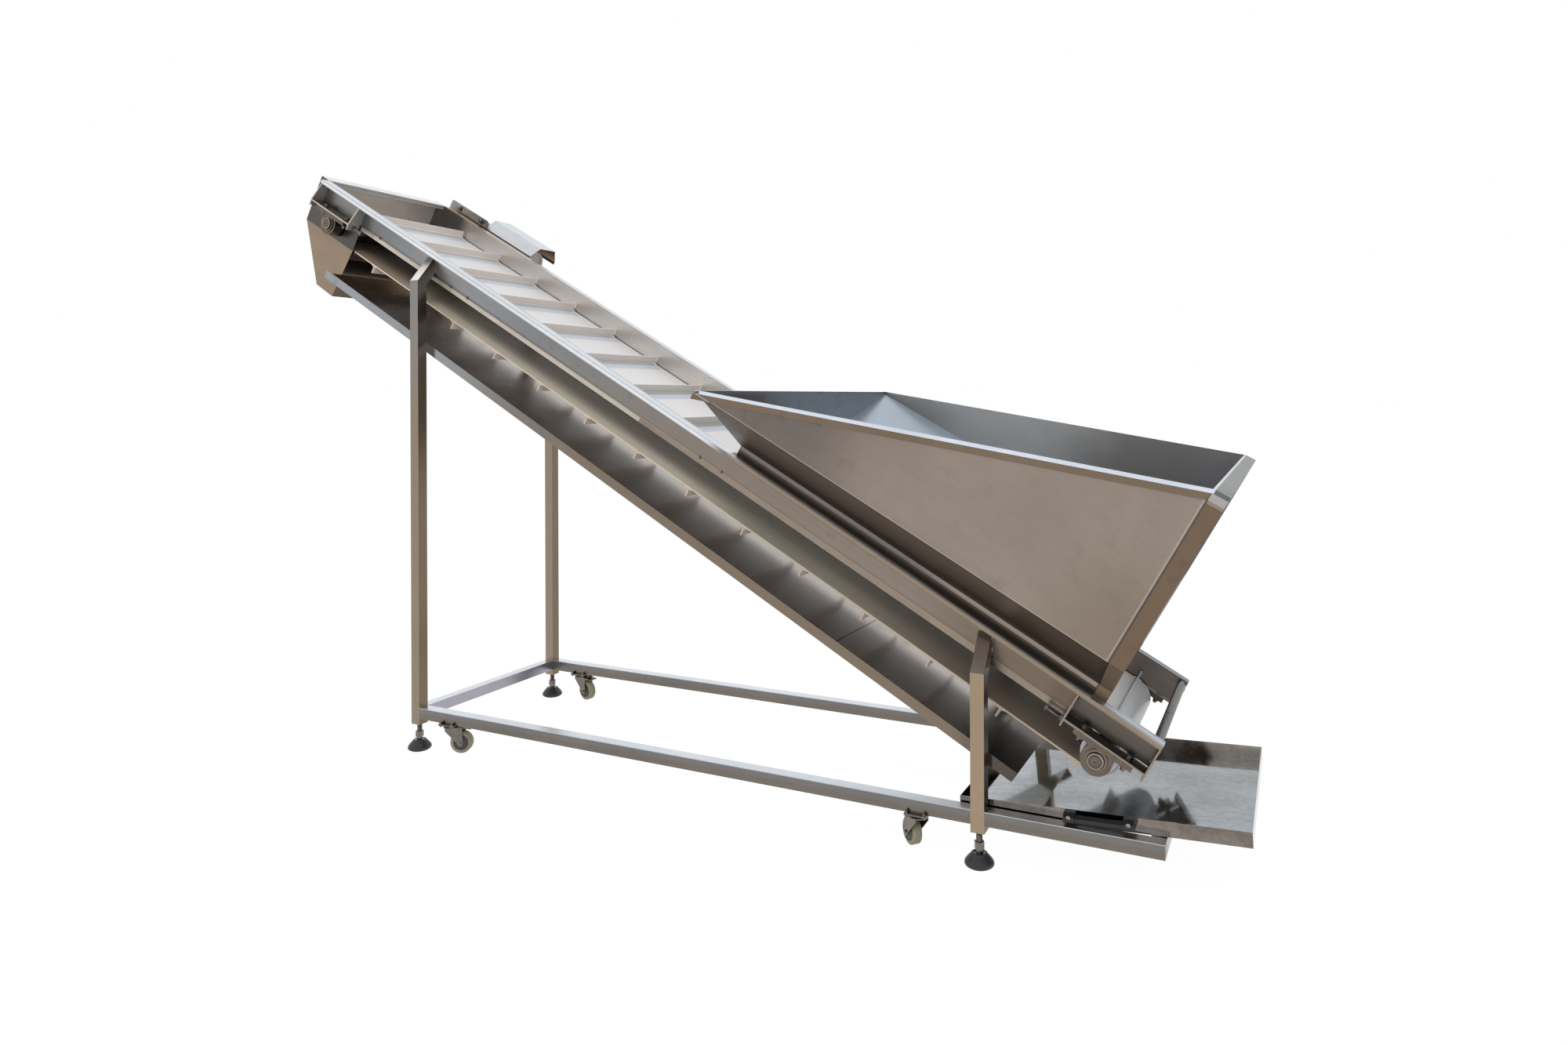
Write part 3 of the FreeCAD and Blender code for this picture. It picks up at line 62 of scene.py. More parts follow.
BEARINGS = [(shaft, side) for shaft in (TAIL_SHAFT, HEAD_SHAFT) for side in (-1, 1)]
SHELF_TOP = -0.083
FLIGHT_AT = 0.13575
FLIGHT_PITCH = 0.22855


def slope_point(up, across, rise):
    """Point at a place up the belt, across the machine and square to the belt."""
    return TAIL + up * UP + across * ACROSS + rise * RISE


# Shader helpers
def new_material(name):
    """Empty node material with its Principled shader."""
    material = bpy.data.materials.new(name)
    material.use_nodes = True
    tree = material.node_tree
    return material, tree, tree.nodes["Principled BSDF"]


def add(tree, kind, inputs=None, **props):
    """A node with its properties, plain input values and links set in one call."""
    node = tree.nodes.new(kind)
    for key, value in props.items():
        setattr(node, key, value)
    for key, value in (inputs or {}).items():
        socket = node.inputs[key]
        if isinstance(value, bpy.types.NodeSocket):
            tree.links.new(value, socket)
        else:
            socket.default_value = value
    return node


def maths(tree, operation, first, second=0.5, third=0.0, clamp=False):
    """Output of one Math node."""
    return add(tree, "ShaderNodeMath", {0: first, 1: second, 2: third},
               operation=operation, use_clamp=clamp).outputs[0]


def mixed(tree, factor, first, second, blend="MIX"):
    """Output of one colour Mix node."""
    node = add(tree, "ShaderNodeMix", {0: factor, 6: first, 7: second}, data_type="RGBA", blend_type=blend)
    return node.outputs[2]


def tinted(tree, tone, tint):
    """A colour times a grey tint."""
    grey = add(tree, "ShaderNodeCombineColor", {0: tint, 1: tint, 2: tint}).outputs[0]
    return mixed(tree, 1.0, tone, grey, "MULTIPLY")


def ramp(tree, value, low, high):
    """Smooth step of a value from 0 to 1 between two limits."""
    node = add(tree, "ShaderNodeMapRange", {"Value": value, "From Min": low, "From Max": high},
               interpolation_type="SMOOTHSTEP", clamp=True)
    return node.outputs["Result"]


def noise(tree, where, scale, detail, roughness=0.5, distortion=0.0):
    """Output of one Noise texture."""
    inputs = {"Vector": where, "Scale": scale, "Detail": detail, "Roughness": roughness,
              "Distortion": distortion}
    return add(tree, "ShaderNodeTexNoise", inputs).outputs["Fac"]


def rings(tree, where, scale, distortion, detail_scale, detail_roughness):
    """Output of one Wave texture of distorted rings."""
    inputs = {"Vector": where, "Scale": scale, "Distortion": distortion, "Detail": 4.0,
              "Detail Scale": detail_scale, "Detail Roughness": detail_roughness}
    return add(tree, "ShaderNodeTexWave", inputs, wave_type="RINGS").outputs["Fac"]


def relief(tree, shader, height, strength, distance):
    """Bumps the shader's normal by a height."""
    bump = add(tree, "ShaderNodeBump", {"Height": height, "Strength": strength, "Distance": distance})
    tree.links.new(bump.outputs[0], shader.inputs["Normal"])


def colour(r, g, b):
    """Opaque linear colour."""
    return (r, g, b, 1.0)


def new_group(name, inputs, outputs):
    """Node group with named inputs (kind, default) and outputs (kind)."""
    group = bpy.data.node_groups.new(name, "ShaderNodeTree")
    for label, (kind, default) in inputs.items():
        socket = group.interface.new_socket(label, in_out="INPUT", socket_type=kind)
        if default is not None:
            socket.default_value = default
    for label, kind in outputs.items():
        group.interface.new_socket(label, in_out="OUTPUT", socket_type=kind)
    return group, group.nodes.new("NodeGroupInput"), group.nodes.new("NodeGroupOutput")


def slope_coordinates():
    """Group: place and normal in the slope's own axes, by dot products with up, across and rise."""
    labels = ("Up", "Across", "Rise", "Along", "Sideways", "Lifted")
    outputs = dict.fromkeys(labels, "NodeSocketFloat") | {"Vector": "NodeSocketVector"}
    group, _, outer = new_group("slope_coordinates", {}, outputs)
    where = add(group, "ShaderNodeTexCoord").outputs["Object"]
    moved = add(group, "ShaderNodeVectorMath", {0: where, 1: tuple(TAIL)}, operation="SUBTRACT").outputs[0]
    normal = add(group, "ShaderNodeNewGeometry").outputs["Normal"]
    parts = []
    for source in (moved, normal):
        for axis in (UP, ACROSS, RISE):
            parts.append(add(group, "ShaderNodeVectorMath", {0: source, 1: tuple(axis)},
                             operation="DOT_PRODUCT").outputs["Value"])
    for label, socket in zip(labels, parts):
        group.links.new(socket, outer.inputs[label])
    joined = add(group, "ShaderNodeCombineXYZ", {0: parts[0], 1: parts[1], 2: parts[2]}).outputs[0]
    group.links.new(joined, outer.inputs["Vector"])
    return group


# Middle of a noise's values, and the weights of the fine and the coarse streaks
MIDDLE = 0.5
FINE_SHARE, COARSE_SHARE = 0.45, 0.55


def brushed_grain():
    """Group: fine streaks stretched along one axis, as a tint near 1 and a height."""
    group, inner, outer = new_group(
        "brushed_grain",
        {"Vector": ("NodeSocketVector", None), "Stretch": ("NodeSocketVector", (2.0, 220.0, 220.0)),
         "Depth": ("NodeSocketFloat", 0.1)},
        {"Tint": "NodeSocketFloat", "Height": "NodeSocketFloat"})
    scaled = add(group, "ShaderNodeVectorMath", {0: inner.outputs["Vector"], 1: inner.outputs["Stretch"]},
                 operation="MULTIPLY").outputs[0]
    fine = noise(group, scaled, 1.0, 3.0, 0.6)
    coarse = noise(group, scaled, 0.22, 4.0, 0.7)
    streaks = maths(group, "MULTIPLY_ADD", fine, FINE_SHARE, maths(group, "MULTIPLY", coarse, COARSE_SHARE))
    centred = maths(group, "SUBTRACT", streaks, MIDDLE)
    tint = maths(group, "MULTIPLY_ADD", centred, inner.outputs["Depth"], 1.0)
    group.links.new(tint, outer.inputs["Tint"])
    group.links.new(fine, outer.inputs["Height"])
    return group


# Marks: how much finer the spots are than the clouds, the arcs' mean, and what smudges and clouds add to
# the roughness
SPOTS_FINER = 9.0
ARCS_MEAN = 0.45
SMUDGE_ROUGH, CLOUD_ROUGH = 0.18, 0.10


def handling_marks():
    """Group: broad cloudy patches, small dark smudges and faint wiped arcs on sheet metal."""
    group, inner, outer = new_group(
        "handling_marks",
        {"Vector": ("NodeSocketVector", None), "Size": ("NodeSocketFloat", 3.0),
         "Strength": ("NodeSocketFloat", 0.2), "Arcs": ("NodeSocketFloat", 0.0)},
        {"Tint": "NodeSocketFloat", "Smudge": "NodeSocketFloat", "Roughness": "NodeSocketFloat"})
    where, size = inner.outputs["Vector"], inner.outputs["Size"]
    clouds = noise(group, where, size, 4.0, 0.55, 0.6)
    spots = noise(group, where, maths(group, "MULTIPLY", size, SPOTS_FINER), 5.0, 0.65)
    gathered = maths(group, "MULTIPLY", ramp(group, spots, 0.50, 0.80), ramp(group, clouds, 0.42, 0.70))
    cloud_tint = maths(group, "MULTIPLY_ADD", maths(group, "SUBTRACT", clouds, MIDDLE),
                       inner.outputs["Strength"], 1.0)
    broad = maths(group, "MULTIPLY", rings(group, where, 1.7, 9.0, 2.2, 0.6), 0.5)
    narrow = maths(group, "MULTIPLY", rings(group, where, 11.0, 14.0, 1.5, 0.7), 0.5)
    arcs = maths(group, "SUBTRACT", maths(group, "ADD", broad, narrow), ARCS_MEAN)
    arcs = maths(group, "MULTIPLY", arcs, inner.outputs["Arcs"])
    group.links.new(maths(group, "ADD", cloud_tint, arcs), outer.inputs["Tint"])
    group.links.new(gathered, outer.inputs["Smudge"])
    rough = maths(group, "MULTIPLY", clouds, CLOUD_ROUGH)
    rough = maths(group, "MULTIPLY_ADD", gathered, SMUDGE_ROUGH, rough)
    group.links.new(rough, outer.inputs["Roughness"])
    return group


def painted_facing_light():
    """Group: painted light and shade by which way a face looks: near or far, tail end, head end, top with a
    painted sky reflection, or underneath in painted shade.
    """
    tones = {"Side": colour(0.3, 0.25, 0.2), "Top": colour(0.6, 0.65, 0.7), "Right": colour(0.3, 0.25, 0.2),
             "Left": colour(0.3, 0.25, 0.2), "Under": colour(0.1, 0.08, 0.06)}
    inputs = {label: ("NodeSocketColor", tone) for label, tone in tones.items()}
    group, inner, outer = new_group("painted_facing_light", inputs, {"Color": "NodeSocketColor"})
    normal = add(group, "ShaderNodeNewGeometry").outputs["Normal"]
    split = add(group, "ShaderNodeSeparateXYZ", {0: normal}).outputs
    tone = inner.outputs["Side"]
    for label, axis, low, high in (("Right", 0, 0.35, 0.8), ("Left", 0, -0.35, -0.8),
                                   ("Top", 2, 0.45, 0.8), ("Under", 2, -0.45, -0.8)):
        tone = mixed(group, ramp(group, split[axis], low, high), tone, inner.outputs[label])
    group.links.new(tone, outer.inputs["Color"])
    return group


GROUPS = {"slope": slope_coordinates(), "grain": brushed_grain(), "marks": handling_marks(),
          "facing": painted_facing_light()}


def use(tree, group, inputs=None):
    """Places one of the shared groups in a material."""
    return add(tree, "ShaderNodeGroup", inputs, node_tree=GROUPS[group])


# A face counts as looking one way between these parts of its normal; a zone's edge is this soft
FACE_TURN = (0.45, 0.65)
SOFT_EDGE = 0.002


def zone(tree, place, facing=None, limits=(), strength=1.0):
    """Mask of the part of a surface that looks one way and lies inside a soft-edged box.

    facing is a signed label of the slope group, such as "-Sideways". limits are (label, low, high) rows, in
    metres from the plates' tail end, or X, Y, Z in the machine's own axes; a row may carry its own softness.
    """
    mask = strength
    if facing:
        turn = [-limit for limit in FACE_TURN] if facing[0] == "-" else FACE_TURN
        mask = maths(tree, "MULTIPLY", mask, ramp(tree, place.outputs[facing[1:]], *turn))
    for label, low, high, *own in limits:
        edge = own[0] if own else SOFT_EDGE
        if label in "XYZ":
            where = add(tree, "ShaderNodeTexCoord").outputs["Object"]
            value = add(tree, "ShaderNodeSeparateXYZ", {0: where}).outputs["XYZ".index(label)]
        else:
            value = place.outputs[label]
        if low is not None:
            mask = maths(tree, "MULTIPLY", mask, ramp(tree, value, low - edge, low + edge))
        if high is not None:
            mask = maths(tree, "MULTIPLY", mask, ramp(tree, value, high + edge, high - edge))
    return mask


def patch(tree, place, tone, shade, *where):
    """Mixes a colour into one zone of a surface."""
    return mixed(tree, zone(tree, place, *where), tone, shade)


# Brushing: scale of the streaks along and across it, and how far smudges darken the sheet
LONG, FINE = 1.5, 260.0
BRUSHING = {"slope": (LONG, FINE, FINE), "x": (LONG, FINE, FINE), "y": (FINE, LONG, FINE),
            "z": (FINE, FINE, LONG)}
SMUDGE = 0.16


def stainless(name, side, top, right, left, under, along="slope", rough=0.34, grain=0.16, marks=0.35,
              mark_size=3.0, patches=(), bump=0.05, matt=(), arcs=0.0):
    """Brushed stainless steel whose tone follows the way each face looks, so light and shade are painted into
    its colour.

    The tones are for faces that look near or far, up, to the tail, to the head and down; the top tone is a
    painted sky reflection and the under tone painted shade. along names the direction of the brushing: slope,
    x, y or z.
    patches are rows for patch(), which paint the light, shade and reflections of parts of the sheet, and matt
    are rows for zone() where the sheet is made less metallic, so that it takes diffuse light and renders
    lighter.
    where grime makes the sheet dull.
    """
    material, tree, shader = new_material(name)
    place = use(tree, "slope")
    if along == "slope":
        where = place.outputs["Vector"]
    else:
        where = add(tree, "ShaderNodeTexCoord").outputs["Object"]
    streaks = use(tree, "grain", {"Vector": where, "Stretch": BRUSHING[along], "Depth": grain})
    worn = use(tree, "marks", {"Vector": where, "Size": mark_size, "Strength": marks, "Arcs": arcs})
    tones = {"Side": side, "Top": top, "Right": right, "Left": left, "Under": under}
    tone = use(tree, "facing", tones).outputs["Color"]
    # Patches paint light, shade and reflections into the tone
    for row in patches:
        tone = patch(tree, place, tone, *row)
    tint = maths(tree, "MULTIPLY", streaks.outputs["Tint"], worn.outputs["Tint"])
    clean = maths(tree, "MULTIPLY_ADD", worn.outputs["Smudge"], -SMUDGE, 1.0)
    tone = tinted(tree, tone, maths(tree, "MULTIPLY", tint, clean))
    tree.links.new(tone, shader.inputs["Base Color"])
    shader.inputs["Metallic"].default_value = 1.0
    metal = 1.0
    # Matt rows lower the metallic, so those faces take diffuse light and render lighter
    for row in matt:
        metal = maths(tree, "SUBTRACT", metal, zone(tree, place, *row), clamp=True)
    if matt:
        tree.links.new(metal, shader.inputs["Metallic"])
    tree.links.new(maths(tree, "ADD", worn.outputs["Roughness"], rough - 0.06), shader.inputs["Roughness"])
    relief(tree, shader, streaks.outputs["Height"], bump, 0.001)
    return material


def plain(name, base, rough, metallic, speckle, scale, bump=0.1):
    """Even finish with a fine speckle, for rubber, plastic, zinc and castings."""
    material, tree, shader = new_material(name)
    where = add(tree, "ShaderNodeTexCoord").outputs["Object"]
    grain = noise(tree, where, scale, 4.0)
    tint = maths(tree, "MULTIPLY_ADD", maths(tree, "SUBTRACT", grain, MIDDLE), 2 * speckle, 1.0)
    tree.links.new(tinted(tree, base, tint), shader.inputs["Base Color"])
    tree.links.new(maths(tree, "MULTIPLY_ADD", grain, 0.15, rough - 0.07), shader.inputs["Roughness"])
    relief(tree, shader, grain, bump, 0.0006)
    shader.inputs["Metallic"].default_value = metallic
    return material


# Finishes
# Face tones for stainless(): SKY is a painted sky reflection for tops, and DARK is painted shade for
# undersides and shaded sides
SKY = colour(0.66, 0.71, 0.76)
PALE = colour(0.50, 0.53, 0.57)
TAUPE = colour(0.255, 0.215, 0.18)
BROWN = colour(0.235, 0.175, 0.125)
DARK = colour(0.085, 0.068, 0.055)

# Patch colours paint the light, shade and reflections seen on each part of a surface into its colour: light
# lines are painted highlights, and dark lines and strips are painted shadow. The pan's thin dark line is a
# seam.
# Patches: colour, way the face looks, limits, strength. -Sideways looks to the near side, +Lifted square up
# from the belt, -Along down the slope to the tail, and +Along up it to the head. Matt rows have no colour.
# Limits: label, low, high, and softness where it isn't the usual one.
NEAR = ("Across", None, -0.27)
NEAR_FACE = ("Across", -0.30, -0.27)
LIP = ("Across", None, -0.31)
FAR_INSIDE = ("Across", 0.27, 0.284)
UNDER_HOPPER = ("Up", 0.204, 1.44, 0.002)
UP_TO_HOPPER_END = ("Up", None, 1.44, 0.03)
PAST_HOPPER = ("Up", 1.5, None, 0.05)
BETWEEN_BRACKETS = ("Up", 0.24, 3.26)
LOWER_EDGE = ("Rise", -0.0815, -0.075, 0.0015)
PLATE_PATCHES = (
    # Near web: painted reflections and shade along the plate, grey at the head and browner and darker towards
    # the tail
    (colour(0.24, 0.245, 0.25), "-Sideways", [NEAR, ("Up", 1.9, None, 0.5)]),
    (colour(0.30, 0.305, 0.31), "-Sideways", [NEAR, ("Up", 2.45, 2.95, 0.2)]),
    (colour(0.20, 0.155, 0.12), "-Sideways", [NEAR, ("Up", None, 0.62, 0.15)]),
    (colour(0.165, 0.125, 0.095), "-Sideways", [NEAR, ("Up", None, 0.30, 0.03)]),
    (colour(0.22, 0.22, 0.22), "-Sideways", [NEAR, ("Up", 3.12, None, 0.06)]),
    (colour(0.12, 0.104, 0.09), "-Sideways", [NEAR_FACE, ("Up", None, 0.231, 0.001)]),
    (colour(0.25, 0.245, 0.24), "-Sideways", [NEAR_FACE, ("Up", 3.271, None, 0.001)]),
    # Lower bend: a lighter painted highlight band, greyer towards the head, with a painted shade line along
    # the crease above it
    (colour(0.33, 0.26, 0.20), "-Sideways", [NEAR_FACE, LOWER_EDGE, BETWEEN_BRACKETS], 0.8),
    (colour(0.21, 0.205, 0.20), "-Sideways", [NEAR_FACE, LOWER_EDGE, ("Up", 1.9, 3.26, 0.3)]),
    (colour(0.075, 0.055, 0.04), "-Sideways",
     [NEAR_FACE, ("Rise", -0.0745, -0.0725, 0.0007), BETWEEN_BRACKETS], 0.6),
    # Lip front: a painted highlight band with a lighter top line and a darker lower part past the hopper;
    # under the hopper a tan painted reflection with a painted shadow line along its lower edge
    (colour(0.80, 0.82, 0.84), "-Sideways", [LIP, PAST_HOPPER]),
    (colour(0.50, 0.53, 0.57), "-Sideways", [LIP, ("Rise", -0.0035, None, 0.001), PAST_HOPPER]),
    (colour(0.40, 0.41, 0.43), "-Sideways", [LIP, ("Rise", None, -0.0125, 0.0015), PAST_HOPPER]),
    (colour(0.31, 0.245, 0.185), "-Sideways", [LIP, UP_TO_HOPPER_END]),
    (colour(0.16, 0.12, 0.085), "-Sideways",
     [LIP, ("Rise", -0.0155, -0.0125, 0.001), UP_TO_HOPPER_END], 0.6),
    # Lip top: painted light under the hopper with painted shadow strips where the hopper overhangs it, a
    # painted sky reflection at the tail, and a painted highlight and a painted shade line along the rounded
    # edge
    (colour(0.55, 0.55, 0.56), "+Lifted", [NEAR, UNDER_HOPPER]),
    (colour(0.07, 0.058, 0.048), "+Lifted", [("Across", -0.301, -0.27, 0.008), UNDER_HOPPER]),
    (colour(0.09, 0.07, 0.055), "+Lifted",
     [NEAR, ("Up", 0.204, 0.70, 0.1), ("Across", -0.3135, None, 0.002)], 0.75),
    (colour(0.38, 0.41, 0.45), "+Lifted", [NEAR, ("Up", None, 0.204, 0.002)]),
    (colour(0.70, 0.76, 0.84), "+Lifted", [("Across", -0.303, -0.299, 0.001), ("Up", None, 0.20, 0.01)]),
    (colour(0.16, 0.15, 0.15), "+Lifted", [("Across", -0.296, -0.2935, 0.001), ("Up", None, 0.20, 0.01)]),
    (colour(0.50, 0.50, 0.52), "+Lifted", [("Across", -0.2885, -0.27, 0.001), PAST_HOPPER]),
    # Far plate: painted light on its inside at mid length, painted shade near the head and the tail, and
    # painted reflections on its lip
    (colour(0.74, 0.70, 0.66), "-Sideways", [FAR_INSIDE, ("Up", 1.4, 3.6, 0.08)]),
    (colour(0.21, 0.20, 0.19), "-Sideways", [FAR_INSIDE, ("Up", 3.36, None, 0.04)]),
    (colour(0.24, 0.21, 0.19), "-Sideways", [FAR_INSIDE, ("Up", None, 0.3, 0.05)]),
    (colour(0.66, 0.50, 0.38), "+Lifted", [("Across", 0.27, None), ("Up", 2.9, None, 0.3)]),
    (colour(0.18, 0.21, 0.24), "+Lifted", [("Across", 0.27, None), ("Up", None, 0.2, 0.05)]),
)
# Lip top under the hopper made less metallic, so it takes diffuse light and renders lighter
PLATE_MATT = (("+Lifted", [NEAR, UNDER_HOPPER], 0.7),)
HOPPER_NEAR = ("Across", None, -0.28)
TAIL_FLANGE = ("Up", None, 0.2035, 0.0006)
NEAR_FLANK = ("Across", None, -0.65)
FAR_FLANK = ("Across", 0.64, None)
NEAR_RIM = ("Across", None, -0.6655)
RIM_TOP = ("Rise", 0.64, None)
TAIL_EDGE = ("Up", None, 0.2005, 0.001)
COLLAR = ("Across", -0.30, -0.28)
COLLAR_TOP = ("Rise", 0.018, 0.031, 0.002)
BELOW_BEND = ("Rise", None, 0.2095, 0.001)
HOPPER_PATCHES = (
    # Flanks and walls: painted reflections and shade that change along the hopper; faces that look up carry a
    # painted sky reflection
    (colour(0.175, 0.15, 0.133), "-Sideways", [NEAR_FLANK, ("Up", 0.98, None, 0.14)]),
    (colour(0.25, 0.20, 0.16), "-Sideways",
     [NEAR_FLANK, ("Up", None, 0.34, 0.12), ("Rise", None, 0.40, 0.12)]),
    (colour(0.46, 0.47, 0.475), "-Sideways", [FAR_FLANK, ("Up", 0.55, None, 0.3)]),
    (colour(0.235, 0.235, 0.245), "-Sideways", [FAR_FLANK, ("Up", None, 0.55, 0.3)]),
    (colour(0.44, 0.51, 0.58), "+Lifted", [("Rise", 0.02, 0.215)]),
    (colour(0.27, 0.30, 0.33), "+Along", [("Up", None, 0.22)]),
    (colour(0.24, 0.25, 0.27), "-Along", [("Up", 1.40, None)]),
    # Rim band: tan painted reflection with a painted shade line at the fold, and the near wall's downward
    # faces in painted shade
    (colour(0.20, 0.151, 0.110), "-Sideways", [NEAR_RIM]),
    (colour(0.10, 0.075, 0.055), "-Sideways", [NEAR_RIM, ("Up", 0.2035, 0.2062, 0.0006)], 0.6),
    (colour(0.15, 0.115, 0.088), None,
     [HOPPER_NEAR, ("Rise", 0.0305, 0.2095, 0.001), ("Lifted", None, 0.0, 0.1)]),
    (colour(0.21, 0.165, 0.125), None,
     [("Across", None, -0.5), ("Rise", 0.150, 0.2095, 0.04), ("Lifted", None, 0.0, 0.1)], 0.6),
    # Collar: a lighter top, a darker face below it and a painted shadow line under its edge
    (colour(0.30, 0.25, 0.21), "-Sideways", [COLLAR, COLLAR_TOP]),
    (colour(0.19, 0.165, 0.15), "-Sideways", [COLLAR, COLLAR_TOP, ("Up", 0.7, None, 0.1)]),
    (colour(0.08, 0.065, 0.055), "-Sideways", [COLLAR, ("Rise", None, 0.0185, 0.0025)]),
    (colour(0.03, 0.024, 0.02), "-Sideways", [COLLAR, ("Rise", 0.0055, 0.0085, 0.001)], 0.8),
    # Tail flange: tan painted reflection, a painted shade line along its fold and a painted highlight line
    # beside it
    (colour(0.178, 0.126, 0.086), None,
     [HOPPER_NEAR, TAIL_FLANGE, ("Rise", None, 0.625, 0.001), ("Along", -0.5, None)]),
    (colour(0.205, 0.145, 0.10), None,
     [HOPPER_NEAR, TAIL_FLANGE, BELOW_BEND, ("Lifted", None, -0.5, 0.1)]),
    (colour(0.06, 0.05, 0.04), None,
     [HOPPER_NEAR, ("Up", 0.2030, 0.2068, 0.0007), ("Rise", None, 0.634)], 0.8),
    (colour(0.46, 0.42, 0.39), "-Sideways",
     [("Across", -0.664, -0.65), ("Rise", 0.19, 0.63), ("Up", 0.2078, 0.2115, 0.0007)], 0.5),
    (colour(0.40, 0.385, 0.375), "-Sideways", [NEAR_RIM, TAIL_FLANGE]),
    # A painted sky reflection on the rim's slanted face, a darker tail end of the rim top, and a painted
    # highlight line along the wall's upper bend
    (colour(0.66, 0.72, 0.80), None,
     [("Across", None, -0.6618), ("Sideways", -0.85, -0.5, 0.05), ("Lifted", 0.5, None, 0.1)]),
    (colour(0.10, 0.112, 0.108), "+Lifted", [RIM_TOP, TAIL_EDGE]),
    (colour(0.50, 0.45, 0.41), None,
     [("Across", None, -0.62), ("Rise", 0.2095, 0.2130, 0.0008), ("Up", 0.2068, None, 0.001)], 0.6),
)
# Rim top's tail end and the flange below the bend made less metallic, so they take diffuse light and render
# lighter
HOPPER_MATT = (
    ("+Lifted", [RIM_TOP, TAIL_EDGE], 0.85),
    (None, [HOPPER_NEAR, TAIL_FLANGE, BELOW_BEND, ("Lifted", None, -0.5, 0.1)], 0.85),
)
CHUTE_NEAR = ("Across", None, -0.27)
CHUTE_WALL = ("Rise", -0.4, 0.01)
CHUTE_FOLD = ("Up", 3.500, 3.510, 0.001)
CHUTE_TOP = ("Rise", -0.01, None)
CHUTE_PATCHES = (
    # Chute: painted shade on its near side, a lighter head wall inside and top, and painted light and shade
    # bands along the fold and the top's edge
    (colour(0.105, 0.10, 0.095), "-Sideways", [CHUTE_NEAR, ("Rise", -0.183, None, 0.001)]),
    (colour(0.30, 0.227, 0.16), None,
     [("Across", None, -0.2), ("Rise", None, -0.184, 0.001), ("Sideways", None, -0.3, 0.1)]),
    (colour(0.82, 0.76, 0.70), "-Along", [("Up", 3.54, None), CHUTE_WALL]),
    (colour(0.36, 0.38, 0.41), "-Along", [CHUTE_FOLD, CHUTE_WALL]),
    (colour(0.55, 0.47, 0.38), None, [CHUTE_FOLD, ("Rise", -0.0165, -0.0125, 0.0005)]),
    (colour(0.80, 0.78, 0.76), "+Lifted", [("Up", 3.5, None), CHUTE_TOP]),
    (colour(0.42, 0.46, 0.50), "+Lifted", [("Up", 3.5, 3.514, 0.002), CHUTE_TOP]),
)
# Head wall inside made less metallic, so it takes diffuse light and renders lighter
CHUTE_MATT = (("-Along", [("Up", 3.50, None), ("Rise", -0.19, 0.01)], 0.75),)
PAN_NEAR = ("Across", None, -0.32)
PAN_PATCHES = (
    # Pan: painted reflections on the near lip, blue-grey at the head and tan towards the tail, and painted
    # shade at the tail end, on the far wall and on the floor's tail end; the thin dark line across the floor
    # is a seam
    (colour(0.30, 0.315, 0.33), "-Sideways", [PAN_NEAR, ("Up", 2.2, None, 0.5)]),
    (colour(0.22, 0.175, 0.135), "-Sideways", [PAN_NEAR, ("Up", None, 2.2, 0.5)]),
    (colour(0.10, 0.082, 0.07), "-Sideways", [PAN_NEAR, ("Up", None, 0.40, 0.08)]),
    (colour(0.13, 0.115, 0.10), "-Sideways", [("Across", 0.31, None)]),
    (colour(0.09, 0.08, 0.07), "+Lifted", [("Up", None, 0.42, 0.1)]),
    (colour(0.05, 0.04, 0.035), "+Lifted", [("Up", 0.880, 0.884, 0.0008)], 0.8),
)
HEAD_POSTS = ("X", None, 0.0)
TAIL_POSTS = ("X", 0.5, None)
POST_ENDS = ("Sideways", -0.4, 0.5, 0.1)
ARM_SLANT = ("Sideways", -0.9, -0.6, 0.05)
POST_PATCHES = (
    # Posts: painted reflections that change with height and end, painted shade on the tail posts' ends, and
    # painted highlights on the arms' slanted faces
    (colour(0.26, 0.25, 0.24), "-Sideways", [HEAD_POSTS, ("Z", 1.35, None, 0.25)]),
    (colour(0.30, 0.27, 0.23), None, [HEAD_POSTS, ("Z", 1.35, None, 0.25), POST_ENDS]),
    (colour(0.36, 0.27, 0.185), "-Sideways", [TAIL_POSTS, ("Across", None, 0.0)]),
    (colour(0.085, 0.065, 0.055), None, [TAIL_POSTS, POST_ENDS, ("Across", None, 0.0)]),
    (colour(1.0, 0.97, 0.96), None, [HEAD_POSTS, ARM_SLANT, ("Z", 1.668, None)]),
    (colour(0.44, 0.38, 0.35), None, [TAIL_POSTS, ARM_SLANT, ("Z", 0.45, None)]),
)
TRAY_PATCHES = (
    # Tray: painted reflections on the floor, darker along the far wall, and a lighter far wall inside
    (colour(0.25, 0.27, 0.285), "+Lifted", [("X", 1.08, None, 0.08)], 0.9),
    (colour(0.29, 0.32, 0.345), "+Lifted", [("X", 1.52, None, 0.05), ("Across", None, -0.1, 0.08)], 0.6),
    (colour(0.56, 0.50, 0.45), "-Sideways", [("Across", 0.2, None)]),
    (colour(0.12, 0.125, 0.13), "+Lifted", [("Across", 0.22, None, 0.02)], 0.6),
)
RAIL_PATCHES = (
    # Rail near face: a painted highlight along its top edge and a grey painted band below it
    (colour(0.60, 0.64, 0.68), "-Sideways", [("Z", 0.1505, None, 0.0008)], 0.8),
    (colour(0.20, 0.20, 0.205), "-Sideways", [("Z", 0.136, 0.150, 0.006)], 0.7),
)
GUARD_FAR_END = float(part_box("motor_guard")[1][1]) - 0.030
GUARD_PATCHES = ((colour(0.21, 0.145, 0.10), "-Sideways", [("Across", GUARD_FAR_END, None)]),)
HEAD_BRACKETS = ("Up", 1.8, None)
TAIL_BRACKETS = ("Up", None, 1.8)
